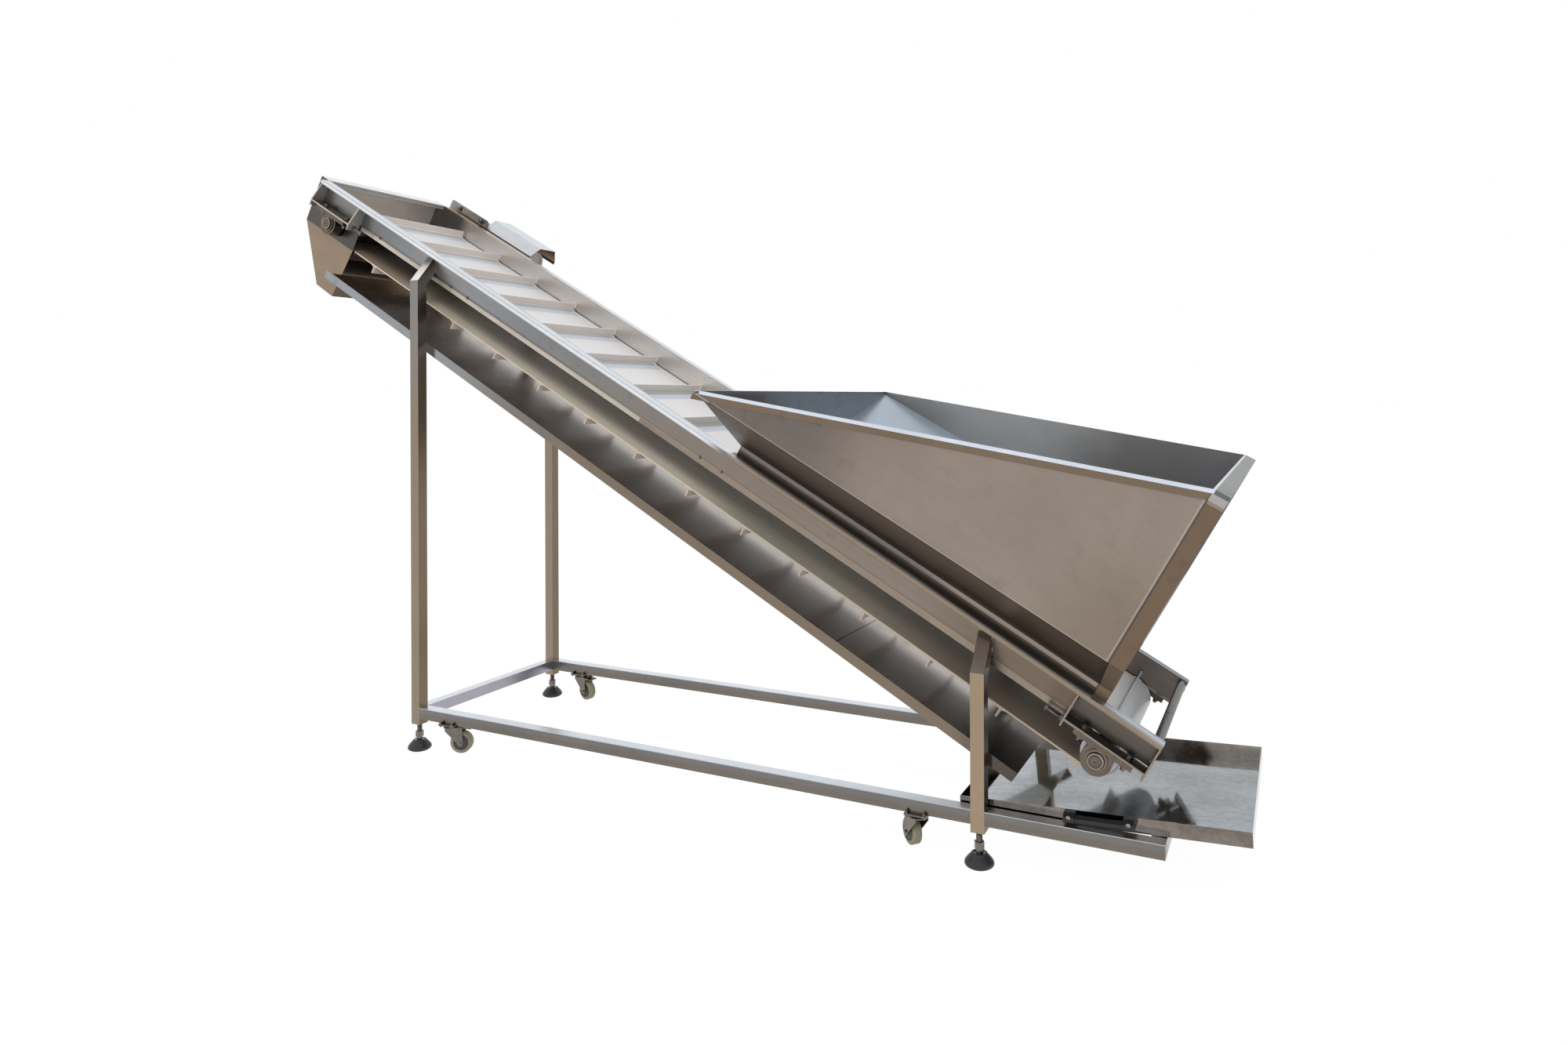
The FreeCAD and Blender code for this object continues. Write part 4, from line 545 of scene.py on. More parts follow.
BRACKET_PATCHES = (
    # Brackets: lighter painted reflection at the head and darker painted shade at the tail
    (colour(0.55, 0.49, 0.42), "-Sideways", [HEAD_BRACKETS]),
    (colour(0.30, 0.25, 0.20), "-Sideways", [TAIL_BRACKETS]),
    (colour(0.36, 0.355, 0.35), "-Along", [HEAD_BRACKETS]),
)
# Head brackets made less metallic, so they take diffuse light and render lighter
BRACKET_MATT = ((None, [HEAD_BRACKETS], 0.5),)

FINISH = {
    "plates": stainless(
        "plate_stainless", TAUPE, SKY, BROWN, DARK, colour(0.16, 0.13, 0.11), marks=0.28, grain=0.5,
        patches=PLATE_PATCHES, matt=PLATE_MATT),
    "hopper": stainless(
        "hopper_stainless", colour(0.30, 0.248, 0.21), colour(0.62, 0.66, 0.70), colour(0.26, 0.24, 0.22),
        colour(0.16, 0.15, 0.15), DARK, marks=0.5, mark_size=2.2, rough=0.36, arcs=0.04,
        patches=HOPPER_PATCHES, matt=HOPPER_MATT),
    "tube": stainless(
        "tube_stainless", colour(0.19, 0.168, 0.145), SKY, colour(0.17, 0.15, 0.14), colour(0.15, 0.12, 0.09),
        DARK, along="x", marks=0.4, mark_size=5.0, rough=0.3, patches=RAIL_PATCHES),
    "post": stainless(
        "post_stainless", colour(0.29, 0.235, 0.18), SKY, colour(0.20, 0.155, 0.11),
        colour(0.12, 0.095, 0.07), DARK, along="z", marks=0.3, rough=0.3, patches=POST_PATCHES),
    "cross": stainless(
        "cross_tube_stainless", colour(0.25, 0.205, 0.17), SKY, colour(0.38, 0.37, 0.42),
        colour(0.2, 0.17, 0.14), DARK, along="y", marks=0.4, mark_size=5.0, rough=0.3),
    "bracket": stainless(
        "bracket_stainless", colour(0.15, 0.13, 0.115), colour(0.065, 0.06, 0.056), colour(0.2, 0.17, 0.15),
        colour(0.09, 0.085, 0.08), DARK, marks=0.5, mark_size=8.0,
        patches=BRACKET_PATCHES, matt=BRACKET_MATT),
    "bar": stainless(
        "tail_bar_stainless", colour(0.075, 0.071, 0.067), colour(0.10, 0.098, 0.094),
        colour(0.075, 0.07, 0.065), DARK, DARK, along="y", marks=0.4, mark_size=8.0),
    "chute": stainless(
        "chute_stainless", colour(0.23, 0.205, 0.185), PALE, colour(0.2, 0.17, 0.15),
        colour(0.26, 0.21, 0.17), DARK, along="z", marks=0.6, mark_size=6.0, rough=0.3, bump=0.1,
        patches=CHUTE_PATCHES, matt=CHUTE_MATT),
    "pan": stainless(
        "pan_stainless", colour(0.16, 0.145, 0.135), colour(0.43, 0.395, 0.37), BROWN, DARK,
        colour(0.16, 0.13, 0.11), marks=0.35, mark_size=2.0, rough=0.17, grain=0.3, bump=0.01,
        patches=PAN_PATCHES),
    "tray": stainless(
        "tray_stainless", colour(0.21, 0.18, 0.16), colour(0.37, 0.395, 0.42), colour(0.24, 0.19, 0.15),
        colour(0.13, 0.12, 0.11), DARK, along="x", marks=0.6, mark_size=5.0, rough=0.09, grain=0.2,
        arcs=0.35, bump=0.01, patches=TRAY_PATCHES),
    "guard": stainless(
        "guard_stainless", colour(0.56, 0.56, 0.59), colour(0.66, 0.69, 0.72), colour(0.20, 0.13, 0.085),
        DARK, colour(0.22, 0.17, 0.13), marks=0.3, patches=GUARD_PATCHES),
    "plate_drive": stainless(
        "drive_plate_stainless", colour(0.32, 0.30, 0.28), PALE, BROWN, DARK, DARK,
        marks=0.8, mark_size=12.0),
    # name, colour, roughness, metallic, depth of the speckle, its scale
    "bearing": plain("bearing_casting", colour(0.155, 0.125, 0.10), 0.30, 1.0, 0.35, 60.0, bump=0.3),
    "zinc": plain("zinc_plate", colour(0.19, 0.17, 0.15), 0.30, 1.0, 0.35, 90.0),
    "nickel": plain("bright_ring_steel", colour(0.36, 0.31, 0.255), 0.2, 1.0, 0.25, 60.0, bump=0.0),
    "race": plain("outer_race_steel", colour(0.27, 0.215, 0.165), 0.25, 1.0, 0.3, 60.0),
    "shaft": plain("shaft_end_steel", colour(0.15, 0.13, 0.11), 0.3, 1.0, 0.3, 90.0),
    "seal": plain("bearing_seal_rubber", colour(0.035, 0.033, 0.032), 0.5, 0.0, 0.15, 80.0),
    "weld": plain("weld_bead_steel", colour(0.30, 0.275, 0.255), 0.3, 1.0, 0.5, 180.0, bump=0.2),
    "drum": plain("drum_steel", colour(0.36, 0.37, 0.39), 0.28, 1.0, 0.12, 30.0),
    "casting": plain("gearbox_casting", colour(0.27, 0.245, 0.22), 0.5, 1.0, 0.12, 90.0),
    "motor": plain("motor_paint", colour(0.50, 0.48, 0.46), 0.45, 0.0, 0.1, 60.0),
    "rubber": plain("pad_rubber", colour(0.020, 0.021, 0.024), 0.42, 0.0, 0.3, 50.0),
    "tyre": plain("tyre_elastomer", colour(0.28, 0.26, 0.17), 0.5, 0.0, 0.15, 60.0),
    "core": plain("wheel_core_plastic", colour(0.05, 0.048, 0.045), 0.45, 0.0, 0.15, 50.0),
    "handle": plain("handle_plastic", colour(0.013, 0.013, 0.017), 0.38, 0.0, 0.15, 300.0),
}

# Belt: where the carrying run starts, its two bands of painted shade before each flight as parts of the
# pitch, and the inner face
STRAIGHT = (0.10, 0.14)
CARRYING = (-0.085, -0.083)
WIDE_SHADE_BAND = (0.75, 0.78)
CLOSE_SHADE_BAND = (0.89, 0.92)
INNER_TOP = (-0.1790, -0.1815)
INNER_BOTTOM = (-0.1840, -0.1826)
ON_TOP = ("Rise", -0.085, None)
BELT_PATCHES = (
    # Far belt edge: a painted shadow line with a bright painted highlight beside it; near the near plate a
    # painted light patch
    (colour(0.50, 0.52, 0.54), "+Lifted", [("Across", 0.259, 0.263, 0.0008), ON_TOP]),
    (colour(0.92, 0.93, 0.95), "+Lifted", [("Across", 0.2635, None, 0.0006), ON_TOP]),
    (colour(0.90, 0.90, 0.92), "+Lifted", [("Across", None, -0.215, 0.001), ON_TOP], 0.6),
)
FLIGHT_PATCHES = (
    # Painted shade on the flights' near ends and on the flights round the tail drum
    (colour(0.66, 0.53, 0.40), "-Sideways", [("Up", 0.12, None)]),
    (colour(0.56, 0.58, 0.61), None, [("Up", None, 0.115, 0.003)]),
)
INNER_PATCHES = (
    # Olive inner face: painted light along its middle and, greyer, on its far half at the head end
    (colour(0.92, 0.84, 0.68), None, [("Up", 0.7, 2.95, 0.35)]),
    (colour(0.60, 0.57, 0.53), None, [("Across", 0.0, None, 0.25), ("Up", 2.2, None, 0.5)], 0.7),
)


def belt_material():
    """White belt: cream flights with a blue-grey band of painted shade and reflection under each, painted
    light and shade at the belt's edges and the flights' ends, an olive inside with painted light along it,
    and faint scuffs.
    """
    material, tree, shader = new_material("belt_elastomer")
    place = use(tree, "slope")
    where, up, rise = (place.outputs[label] for label in ("Vector", "Up", "Rise"))
    stained = use(tree, "marks", {"Vector": where, "Size": 4.0, "Strength": 0.10})
    web = ramp(tree, maths(tree, "ABSOLUTE", place.outputs["Along"]), 0.5, 0.8)
    straight = ramp(tree, up, *STRAIGHT)
    carrying = maths(tree, "MULTIPLY", straight, ramp(tree, rise, *CARRYING))
    pitches = maths(tree, "DIVIDE", maths(tree, "SUBTRACT", up, FLIGHT_AT), FLIGHT_PITCH)
    pitch = maths(tree, "FRACT", pitches)
    wide_shade = maths(tree, "MULTIPLY", carrying, ramp(tree, pitch, *WIDE_SHADE_BAND))
    close_shade = maths(tree, "MULTIPLY", carrying, ramp(tree, pitch, *CLOSE_SHADE_BAND))
    # Blue-grey painted shade and reflection of each flight on the belt in front of it
    base = mixed(tree, wide_shade, colour(0.82, 0.81, 0.82), colour(0.60, 0.66, 0.74))
    base = mixed(tree, close_shade, base, colour(0.44, 0.475, 0.53))
    for row in BELT_PATCHES:
        base = patch(tree, place, base, *row)
    base = mixed(tree, maths(tree, "MULTIPLY", web, straight), base, colour(0.86, 0.77, 0.68))
    for row in FLIGHT_PATCHES:
        base = patch(tree, place, base, *row)
    inside = maths(tree, "MULTIPLY", ramp(tree, rise, *INNER_TOP), ramp(tree, rise, *INNER_BOTTOM))
    inside = maths(tree, "MULTIPLY", inside, ramp(tree, place.outputs["Lifted"], 0.3, 0.6))
    streaks = use(tree, "grain", {"Vector": where, "Stretch": (2.0, 70.0, 70.0), "Depth": 0.5})
    olive = colour(0.42, 0.32, 0.22)
    for row in INNER_PATCHES:
        olive = patch(tree, place, olive, *row)
    base = mixed(tree, inside, base, tinted(tree, olive, streaks.outputs["Tint"]))
    clean = maths(tree, "MULTIPLY_ADD", stained.outputs["Smudge"], -0.12, 1.0)
    base = tinted(tree, base, maths(tree, "MULTIPLY", stained.outputs["Tint"], clean))
    tree.links.new(base, shader.inputs["Base Color"])
    shader.inputs["Roughness"].default_value = 0.30
    relief(tree, shader, noise(tree, where, 900.0, 2.0), 0.05, 0.0004)
    return material


FINISH["belt"] = belt_material()

# Start of a CAD node's name, and its finish; the first that fits counts
NODE_FINISH = (
    ("base_rail", "tube"), ("tail_rail", "tube"), ("cross_tube", "cross"), ("post_", "post"),
    ("side_plate", "plates"), ("slider_bed", "bracket"), ("belt", "belt"), ("tail_drum", "drum"),
    ("drive_drum", "drum"), ("head_bearings", "bearing"), ("tail_bearings", "bearing"),
    ("head_bracket", "bracket"), ("tail_bracket", "bracket"), ("take_up", "zinc"), ("tail_bar", "bar"),
    ("hopper", "hopper"), ("return_pan", "pan"), ("discharge_chute", "chute"),
    ("motor_plate", "plate_drive"), ("gearbox", "casting"), ("motor_guard", "guard"), ("motor", "motor"),
    ("foot_pads", "rubber"), ("foot_spindles", "zinc"), ("caster_plates", "zinc"),
    ("caster_fork", "zinc"), ("caster_core", "core"), ("caster_tyre", "tyre"), ("drip_tray", "tray"),
    ("tray_handle", "handle"),
)

for node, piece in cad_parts.items():
    for start, finish in NODE_FINISH:
        if node.startswith(start):
            piece.data.materials.clear()
            piece.data.materials.append(FINISH[finish])
            break


# Surfaces
def grid_faces(rows, columns):
    """Quads of a rows x columns grid of points whose last column joins the first, as whole arrays."""
    i = np.arange(rows - 1)[:, None]
    j = np.arange(columns)[None, :]
    after = (j + 1) % columns
    this, following = i * columns, (i + 1) * columns
    return np.stack([this + j, this + after, following + after, following + j], -1).reshape(-1, 4)


SHARP_ANGLE = math.radians(32)


class Soup:
    """Collects point and face arrays of many small surfaces for one piece."""

    def __init__(self):
        self.points, self.quads, self.count = [], [], 0

    def take(self, points, quads):
        """Adds one surface's points and faces."""
        points = np.asarray(points, float).reshape(-1, 3)
        self.points.append(points)
        self.quads.append(np.asarray(quads) + self.count)
        self.count += len(points)

    def piece(self, name, finish, body, slot):
        """One smooth-shaded object from what was collected, riding on a body."""
        mesh = bpy.data.meshes.new(name)
        mesh.from_pydata(np.vstack(self.points).tolist(), [], np.vstack(self.quads).tolist())
        mesh.validate()
        mesh.update()
        mesh.shade_smooth()
        mesh.set_sharp_from_angle(angle=SHARP_ANGLE)
        item = bpy.data.objects.new(name, mesh)
        bpy.context.scene.collection.objects.link(item)
        mesh.materials.append(FINISH[finish])
        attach(item, body)


def frame_of(axis):
    """Two unit vectors square to an axis, and the axis, as rows."""
    axis = np.asarray(axis, float) / np.linalg.norm(axis)
    helper = np.array([0.0, 0.0, 1.0]) if abs(axis[2]) < 0.9 else np.array([1.0, 0.0, 0.0])
    first = np.cross(helper, axis)
    first /= np.linalg.norm(first)
    return np.array([first, np.cross(axis, first), axis])


def turned(soup, centre, axis, profile, sides, corners=0, turn=0.0):
    """Turned piece: point = centre + r*k(a)*(cos a, sin a) + z*axis for each profile pair (r, z).

    k(a) is 1 on a round, or cos(pi/n)/cos(a mod 2pi/n - pi/n) for n flats.
    """
    profile = np.array(profile, float)
    angle = np.arange(sides) * 2 * math.pi / sides
    k = np.ones(sides)
    if corners:
        step = 2 * math.pi / corners
        k = math.cos(step / 2) / np.cos(np.mod(angle, step) - step / 2)
    rows = frame_of(axis)
    r = profile[:, 0][:, None] * k
    x = r * np.cos(angle + turn)
    y = r * np.sin(angle + turn)
    z = np.repeat(profile[:, 1][:, None], sides, 1)
    points = np.stack([x, y, z], -1) @ rows + np.asarray(centre, float)
    soup.take(points, grid_faces(len(profile), sides))


# Fasteners: head's radius and height, washer's radius, turn of the flats, length of the end through it
SHELF_BOLT = (0.0095, 0.0075, 0.0135, 0.3, 0.0)
FOOT_NUT = (0.0095, 0.0080, 0.0125, 0.1, 0.007)
PLATE_BOLT = (0.0042, 0.0028, 0.0058, 0.2, 0.0)
DRIVE_BOLT = (0.0080, 0.0060, 0.0115, 0.4, 0.008)
CASTER_BOLT = (0.0052, 0.0042, 0.0070, 0.2, 0.0)
CASTER_NUT = (0.0052, 0.0042, 0.0066, 0.5, 0.003)
WASHER_SHEET = 0.0014
HEAD_EDGE = 0.0006
STUD_SHARE = 0.45


def bolt(soup, centre, axis, kind):
    """Hexagon head on a washer, with an optional stud end through it."""
    radius, height, washer, turn, stud = kind
    top = WASHER_SHEET + height
    turned(soup, centre, axis, [(washer, 0.0), (washer, WASHER_SHEET), (0, WASHER_SHEET)], 20)
    turned(soup, centre, axis, [(radius, WASHER_SHEET), (radius, top - HEAD_EDGE),
                                (radius - 1.5 * HEAD_EDGE, top), (0, top)], 24, 6, turn)
    if stud:
        end = STUD_SHARE * washer
        turned(soup, centre, axis, [(end, top), (end, top + stud), (0, top + stud)], 16)


# Weld beads: step along the path, length of a ripple, sides of the round, and the two kinds as radius and
# ripple's share of it
BEAD_STEP = 0.002
RIPPLE_LENGTH = 0.0045
BEAD_SIDES = 8
MITRE_BEAD = (0.0011, 0.2)
PLATE_BEAD = (0.0018, 0.4)


def bead(soup, path, kind):
    """Weld bead: a round of radius*(1 + ripple*sin) carried along a path, and flattened at its ends."""
    radius, ripple = kind
    path = np.asarray(path, float)
    lengths = np.r_[0, np.cumsum(np.linalg.norm(np.diff(path, axis=0), axis=1))]
    steps = max(8, int(lengths[-1] / BEAD_STEP))
    t = np.linspace(0, lengths[-1], steps)
    line = np.stack([np.interp(t, lengths, path[:, k]) for k in range(3)], -1)
    forward = np.gradient(line, axis=0)
    forward /= np.linalg.norm(forward, axis=1)[:, None]
    helper = np.where(np.abs(forward[:, 2:3]) < 0.9, [[0.0, 0.0, 1.0]], [[1.0, 0.0, 0.0]])
    first = np.cross(helper, forward)
    first /= np.linalg.norm(first, axis=1)[:, None]
    second = np.cross(forward, first)
    size = radius * (1 + ripple * np.sin(t * 2 * math.pi / RIPPLE_LENGTH))
    ends = np.minimum(1.0, np.minimum(t, t[-1] - t) / (2 * radius) + 0.05)
    angle = np.arange(BEAD_SIDES) * 2 * math.pi / BEAD_SIDES
    ring = first[:, None] * np.cos(angle)[None, :, None] + second[:, None] * np.sin(angle)[None, :, None]
    soup.take(line[:, None] + ring * (size * ends)[:, None, None], grid_faces(steps, BEAD_SIDES))


# Small parts
FOOT_UNDER = -0.103
BEARING_Y = 0.310
BOLT_SPREAD = 0.0635


def bearing_fasteners():
    """Two bolts through each pillow block and its shelf, with the nut and the bolt's end below."""
    soup = Soup()
    for shaft, side in BEARINGS:
        for along in (-BOLT_SPREAD, BOLT_SPREAD):
            bolt(soup, slope_point(shaft + along, side * BEARING_Y, SHELF_TOP), RISE, SHELF_BOLT)
            bolt(soup, slope_point(shaft + along, side * BEARING_Y, FOOT_UNDER), -RISE, FOOT_NUT)
    soup.piece("bearing_bolts", "zinc", "conveyor", "zinc")


# Bearing trim as (radius, height) rows on the pillow block's face
BEARING_FACE = 0.328
OUTER_RACE = ((0.0268, 0.0), (0.0264, 0.0026), (0.0238, 0.0026), (0.0232, 0.0012))
OUTER_SEAL = ((0.0234, 0.0), (0.0230, 0.0014), (0.0212, 0.0016), (0.0205, 0.0))
INNER_RING = ((0.0212, 0.004), (0.0213, 0.0080), (0.0203, 0.0092), (0.0180, 0.0092), (0.0172, 0.0080))
INNER_SEAL = ((0.0173, 0.0082), (0.0172, 0.0070), (0.0152, 0.0068))
SHAFT_END = ((0.0149, 0.0066), (0.0148, 0.0086), (0.0136, 0.0098), (0.0096, 0.0098), (0.0092, 0.0094),
             (0.0034, 0.0094), (0.0012, 0.0062), (0.0, 0.0062))


def bearing_rings():
    """Each bearing's race, dark seals and bright inner ring, and the shaft's end with a centre mark."""
    seal, ring, race, end = Soup(), Soup(), Soup(), Soup()
    for shaft, side in BEARINGS:
        face = slope_point(shaft, side * BEARING_FACE, SHAFT_RISE)
        for soup, profile, sides in ((race, OUTER_RACE, 48), (seal, OUTER_SEAL, 48), (ring, INNER_RING, 48),
                                     (seal, INNER_SEAL, 48), (end, SHAFT_END, 40)):
            turned(soup, face, side * ACROSS, profile, sides)
    seal.piece("bearing_seals", "seal", "conveyor", "rubber")
    ring.piece("bearing_inner_rings", "nickel", "conveyor", "bearing")
    race.piece("bearing_outer_races", "race", "conveyor", "bearing")
    end.piece("shaft_ends", "shaft", "conveyor", "bearing")


# Bolts of the side plates and of the drive's plate: places up the belt, and square to it
PLATE_BOLTS_UP = (3.152, 2.744, 2.653, 1.541, 1.452)
PLATE_BOLTS_RISE = -0.0765
DRIVE_BOLTS_UP = (3.468, 3.330)
DRIVE_BOLTS_ACROSS = 0.335
DRIVE_BOLTS_RISE = 0.0155


def plate_fasteners():
    """Small bolts along the lower edges of the side plates and the two bolts of the drive's plate."""
    soup = Soup()
    for side in (-1, 1):
        for up in PLATE_BOLTS_UP:
            bolt(soup, slope_point(up, side * PLATE_FACE, PLATE_BOLTS_RISE), side * ACROSS, PLATE_BOLT)
    for up in DRIVE_BOLTS_UP:
        bolt(soup, slope_point(up, DRIVE_BOLTS_ACROSS, DRIVE_BOLTS_RISE), -ACROSS, DRIVE_BOLT)
    soup.piece("plate_bolts", "zinc", "conveyor", "zinc")


# Caster plates: half the bolts' spacing along and across, underside and top above the floor
CASTER_SPREAD = (0.025, 0.026)
CASTER_PLATE_UNDER = 0.111
CASTER_PLATE_TOP = 0.115


def caster_fasteners():
    """Four bolts at the corners of each caster plate, with nuts above where the rail leaves room."""
    soup = Soup()
    along, across = CASTER_SPREAD
    for centre in CASTERS_X:
        for side in (-1, 1):
            for x in (centre - along, centre + along):
                for dy in (-across, across):
                    y = side * (HALF_FRAME - TUBE / 2) + dy
                    bolt(soup, (x, y, CASTER_PLATE_UNDER), (0, 0, -1), CASTER_BOLT)
                    if not HALF_FRAME - TUBE <= abs(y) <= HALF_FRAME:
                        bolt(soup, (x, y, CASTER_PLATE_TOP), (0, 0, 1), CASTER_NUT)
    soup.piece("caster_bolts", "zinc", "conveyor", "zinc")


# Handle screws: distances from the handle's lower corners, and the head and its socket as (radius, height)
# rows
HANDLE_SCREWS = ((0.0140, 0.0145), (0.0145, 0.0220))
SCREW_HEAD = ((0.0058, 0.0), (0.0056, 0.0014), (0.0044, 0.0026), (0.0030, 0.0030))
SCREW_SOCKET = ((0.0030, 0.0030), (0.0029, 0.0008), (0.0, 0.0008))


def handle_screws():
    """Round-headed screws with a hexagon socket, one in each foot of the tray handle."""
    soup = Soup()
    low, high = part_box("tray_handle")
    (left, left_up), (right, right_up) = HANDLE_SCREWS
    for x, z in ((low[0] + left, low[2] + left_up), (high[0] - right, low[2] + right_up)):
        turned(soup, (x, low[1], z), (0, -1, 0), SCREW_HEAD, 24)
        turned(soup, (x, low[1], z), (0, -1, 0), SCREW_SOCKET, 24, 6)
    soup.piece("handle_screws", "nickel", "tray", "zinc")


# Threads: root radius, depth, half a pitch, number of steps; then where they start
SPINDLE_THREAD = (0.0081, 0.0006, 0.001, 27)
SCREW_THREAD = (0.0051, 0.0004, 0.0009, 41)
SPINDLE_LOW = 0.066
SCREWS_FROM = ((0.236, 1), (HEAD_SHAFT - 0.1145, -1))
SCREW_GAP = 0.008
SCREW_RISE = -0.0955


def ridges(root, depth, half_pitch, steps):
    """Thread profile: the radius rises and falls at every other step."""
    return [(root + depth * (k % 2), half_pitch * k) for k in range(steps)]


def feet(height):
    """Points on the axes of the four levelling feet at one height."""
    return [(x + TUBE / 2, side * (HALF_FRAME - TUBE / 2), height) for x in POSTS_X for side in (-1, 1)]


def threads():
    """Thread ridges on the levelling spindles, 2 mm apart, and on the take-up screws, 1.8 mm apart."""
    soup = Soup()
    for centre in feet(SPINDLE_LOW):
        turned(soup, centre, (0, 0, 1), ridges(*SPINDLE_THREAD), 20)
    for start, way in SCREWS_FROM:
        for side in (-1, 1):
            centre = slope_point(start + way * SCREW_GAP, side * BEARING_Y, SCREW_RISE)
            turned(soup, centre, way * UP, ridges(*SCREW_THREAD), 14)
    soup.piece("threads", "zinc", "conveyor", "zinc")


# Dish in a foot pad as (radius, height) rows above the floor
PAD_DISH = ((0.0180, 0.0342), (0.0181, 0.0360), (0.0172, 0.0364), (0.0160, 0.0354), (0.0110, 0.0346),
            (0.0100, 0.0350))


def pad_dishes():
    """Pressed steel dish in each pad's top: a shallow ring with a rolled rim."""
    soup = Soup()
    for centre in feet(0.0):
        turned(soup, centre, (0, 0, 1), PAD_DISH, 48)
    soup.piece("foot_pad_dishes", "zinc", "conveyor", "zinc")


# Arms and brackets, for the weld beads
ARM_LEAN = math.radians(40)
ARM_DROP = 0.133
ARM_BEAD_OUT = 0.001
ARM_BEAD_ENDS = (0.004, 0.006)
BRACKET_LENGTH = 0.236
GUSSETS_AT = (0.0, 0.231)
GUSSET_FACES = (-0.0008, 0.0058)
GUSSET_BEAD_OUT = 0.0005
GUSSET_BEADS = ((-0.078, -0.060), (-0.040, -0.022))


def welds():
    """Beads at the arms' mitres, where arms meet the side plates, and along the brackets' gussets."""
    soup = Soup()
    above, below = ARM_BEAD_ENDS
    for x in POSTS_X:
        outer_bend = TAIL[2] + (TAIL[0] - x) * math.tan(INCLINE) - ARM_DROP
        inner_bend = outer_bend - TUBE * math.tan(ARM_LEAN / 2)
        top = outer_bend + (HALF_FRAME - PLATE_FACE) / math.tan(ARM_LEAN)
        low = inner_bend + (HALF_FRAME - TUBE - PLATE_FACE) / math.tan(ARM_LEAN)
        for side in (-1, 1):
            y0, y1 = side * HALF_FRAME, side * (HALF_FRAME - TUBE)
            bead(soup, [(x, y0, outer_bend), (x + TUBE, y0, outer_bend), (x + TUBE, y1, inner_bend),
                        (x, y1, inner_bend), (x, y0, outer_bend)], MITRE_BEAD)
            y = side * (PLATE_FACE + ARM_BEAD_OUT)
            for edge in (x + 0.0, x + TUBE):
                bead(soup, [(edge, y, low + above), (edge, y, top - below)], PLATE_BEAD)
    for start in (0.0, PLATE_LENGTH - BRACKET_LENGTH):
        for gusset in GUSSETS_AT:
            for side in (-1, 1):
                across = side * (PLATE_FACE + GUSSET_BEAD_OUT)
                for face in GUSSET_FACES:
                    up = start + gusset + face
                    for ends in GUSSET_BEADS:
                        bead(soup, [slope_point(up, across, rise) for rise in ends], PLATE_BEAD)
    soup.piece("weld_beads", "weld", "conveyor", "steel")


for dressing in (bearing_fasteners, bearing_rings, plate_fasteners, caster_fasteners, handle_screws, threads,
                 pad_dishes, welds):
    dressing()


# Floor, light and camera
FLOOR_REACH = 30.0
FLOOR_GLOW = 1.05
FLOOR_GLOW_SHARE = 0.93
SKY_LIGHT, SKY_SEEN = 0.55, 0.45
LAMPS = (
    # name, place, where it points, side of its square, power
    ("key_lamp", (2.5, -4.5, 5.0), (0.3, 0.0, 0.8), 3.5, 150.0),
    ("fill_lamp", (-4.5, -3.0, 3.5), (-0.3, 0.0, 1.0), 3.0, 60.0),
    ("back_lamp", (1.0, 5.0, 5.0), (0.0, 0.0, 1.0), 3.5, 80.0),
)


def seen_rays(tree):
    """1 for rays from the camera, mirrors and glass, 0 for rays that only carry light."""
    light = add(tree, "ShaderNodeLightPath")
    seen = maths(tree, "MAXIMUM", light.outputs["Is Camera Ray"], light.outputs["Is Glossy Ray"])
    return maths(tree, "MAXIMUM", seen, light.outputs["Is Transmission Ray"])


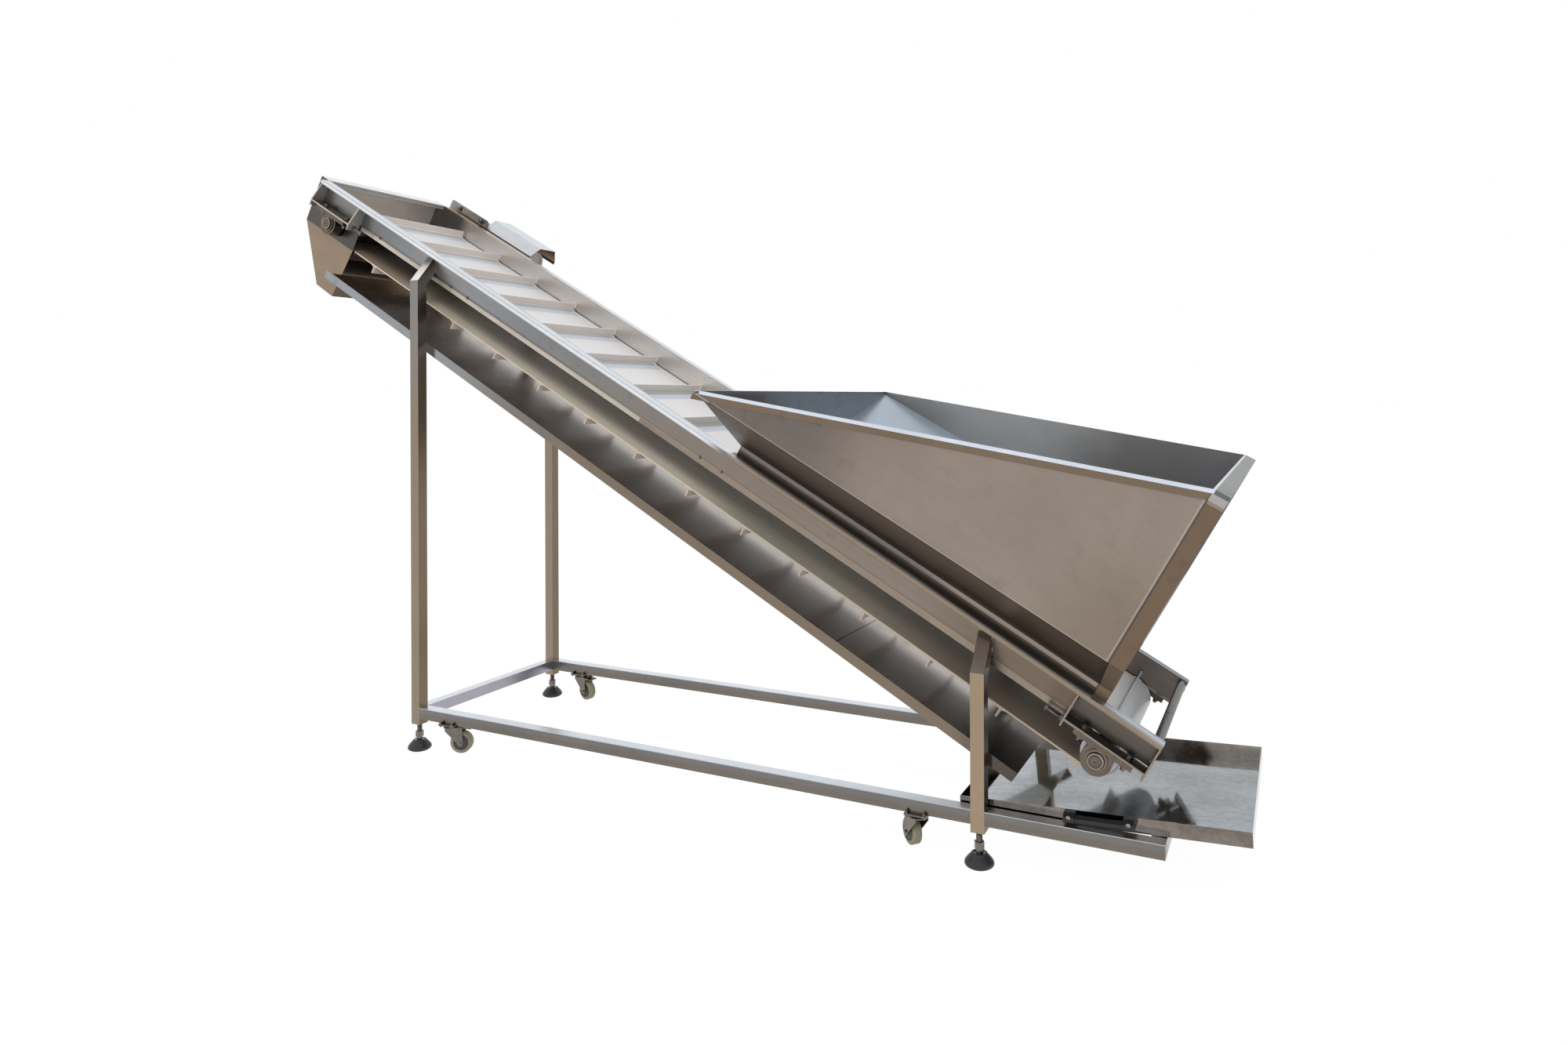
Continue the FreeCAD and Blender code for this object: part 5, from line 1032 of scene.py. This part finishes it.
def build_floor():
    """Pale floor that keeps the shadow."""
    mesh = bpy.data.meshes.new("floor")
    corners = [(x * FLOOR_REACH, y * FLOOR_REACH, 0) for x, y in ((-1, -1), (1, -1), (1, 1), (-1, 1))]
    mesh.from_pydata(corners, [], [(0, 1, 2, 3)])
    floor = bpy.data.objects.new("floor", mesh)
    bpy.context.scene.collection.objects.link(floor)
    material, tree, shader = new_material("floor_pale")
    shader.inputs["Base Color"].default_value = colour(0.86, 0.86, 0.86)
    shader.inputs["Roughness"].default_value = 0.9
    glow = add(tree, "ShaderNodeEmission", {"Color": colour(1, 1, 1), "Strength": FLOOR_GLOW})
    share = maths(tree, "MULTIPLY", seen_rays(tree), FLOOR_GLOW_SHARE)
    blend = add(tree, "ShaderNodeMixShader", {0: share, 1: shader.outputs[0], 2: glow.outputs[0]})
    tree.links.new(blend.outputs[0], tree.nodes["Material Output"].inputs[0])
    mesh.materials.append(material)


def build_light():
    """White surroundings and three broad soft lamps."""
    world = bpy.data.worlds.new("studio")
    bpy.context.scene.world = world
    world.use_nodes = True
    tree = world.node_tree
    background = tree.nodes["Background"]
    background.inputs["Color"].default_value = colour(1, 1, 1)
    strength = maths(tree, "MULTIPLY_ADD", seen_rays(tree), SKY_SEEN, SKY_LIGHT)
    tree.links.new(strength, background.inputs["Strength"])
    for name, place, target, size, power in LAMPS:
        data = bpy.data.lights.new(name, "AREA")
        data.size = size
        data.energy = power
        lamp = bpy.data.objects.new(name, data)
        lamp.visible_glossy = False
        bpy.context.scene.collection.objects.link(lamp)
        lamp.location = place
        lamp.rotation_euler = (Vector(target) - Vector(place)).to_track_quat("-Z", "Y").to_euler()


CAMERA_PLACE = (2.8508 - CENTRE_X, -2.5255 - HALF_FRAME, 1.2525)
CAMERA_TURN, CAMERA_TILT, CAMERA_ROLL = 0.4451, -0.0016, 0.003


def build_camera():
    """Camera at the photograph's place: 25.5 degrees left of straight on, at 1.25 m."""
    data = bpy.data.cameras.new("camera")
    data.sensor_width = 36.0
    data.lens = 22.654
    data.shift_x = -0.0283
    data.shift_y = -0.0795
    data.clip_end = 100.0
    camera = bpy.data.objects.new("camera", data)
    bpy.context.scene.collection.objects.link(camera)
    turn = Matrix.Rotation(CAMERA_TURN, 4, "Z") @ Matrix.Rotation(CAMERA_TILT, 4, "X")
    turn = turn @ Matrix.Rotation(CAMERA_ROLL, 4, "Y")
    level = Matrix.Rotation(math.pi / 2, 4, "X")
    camera.matrix_world = Matrix.Translation(CAMERA_PLACE) @ turn @ level
    bpy.context.scene.camera = camera


build_floor()
build_light()
build_camera()
bpy.context.scene.view_settings.view_transform = "Standard"
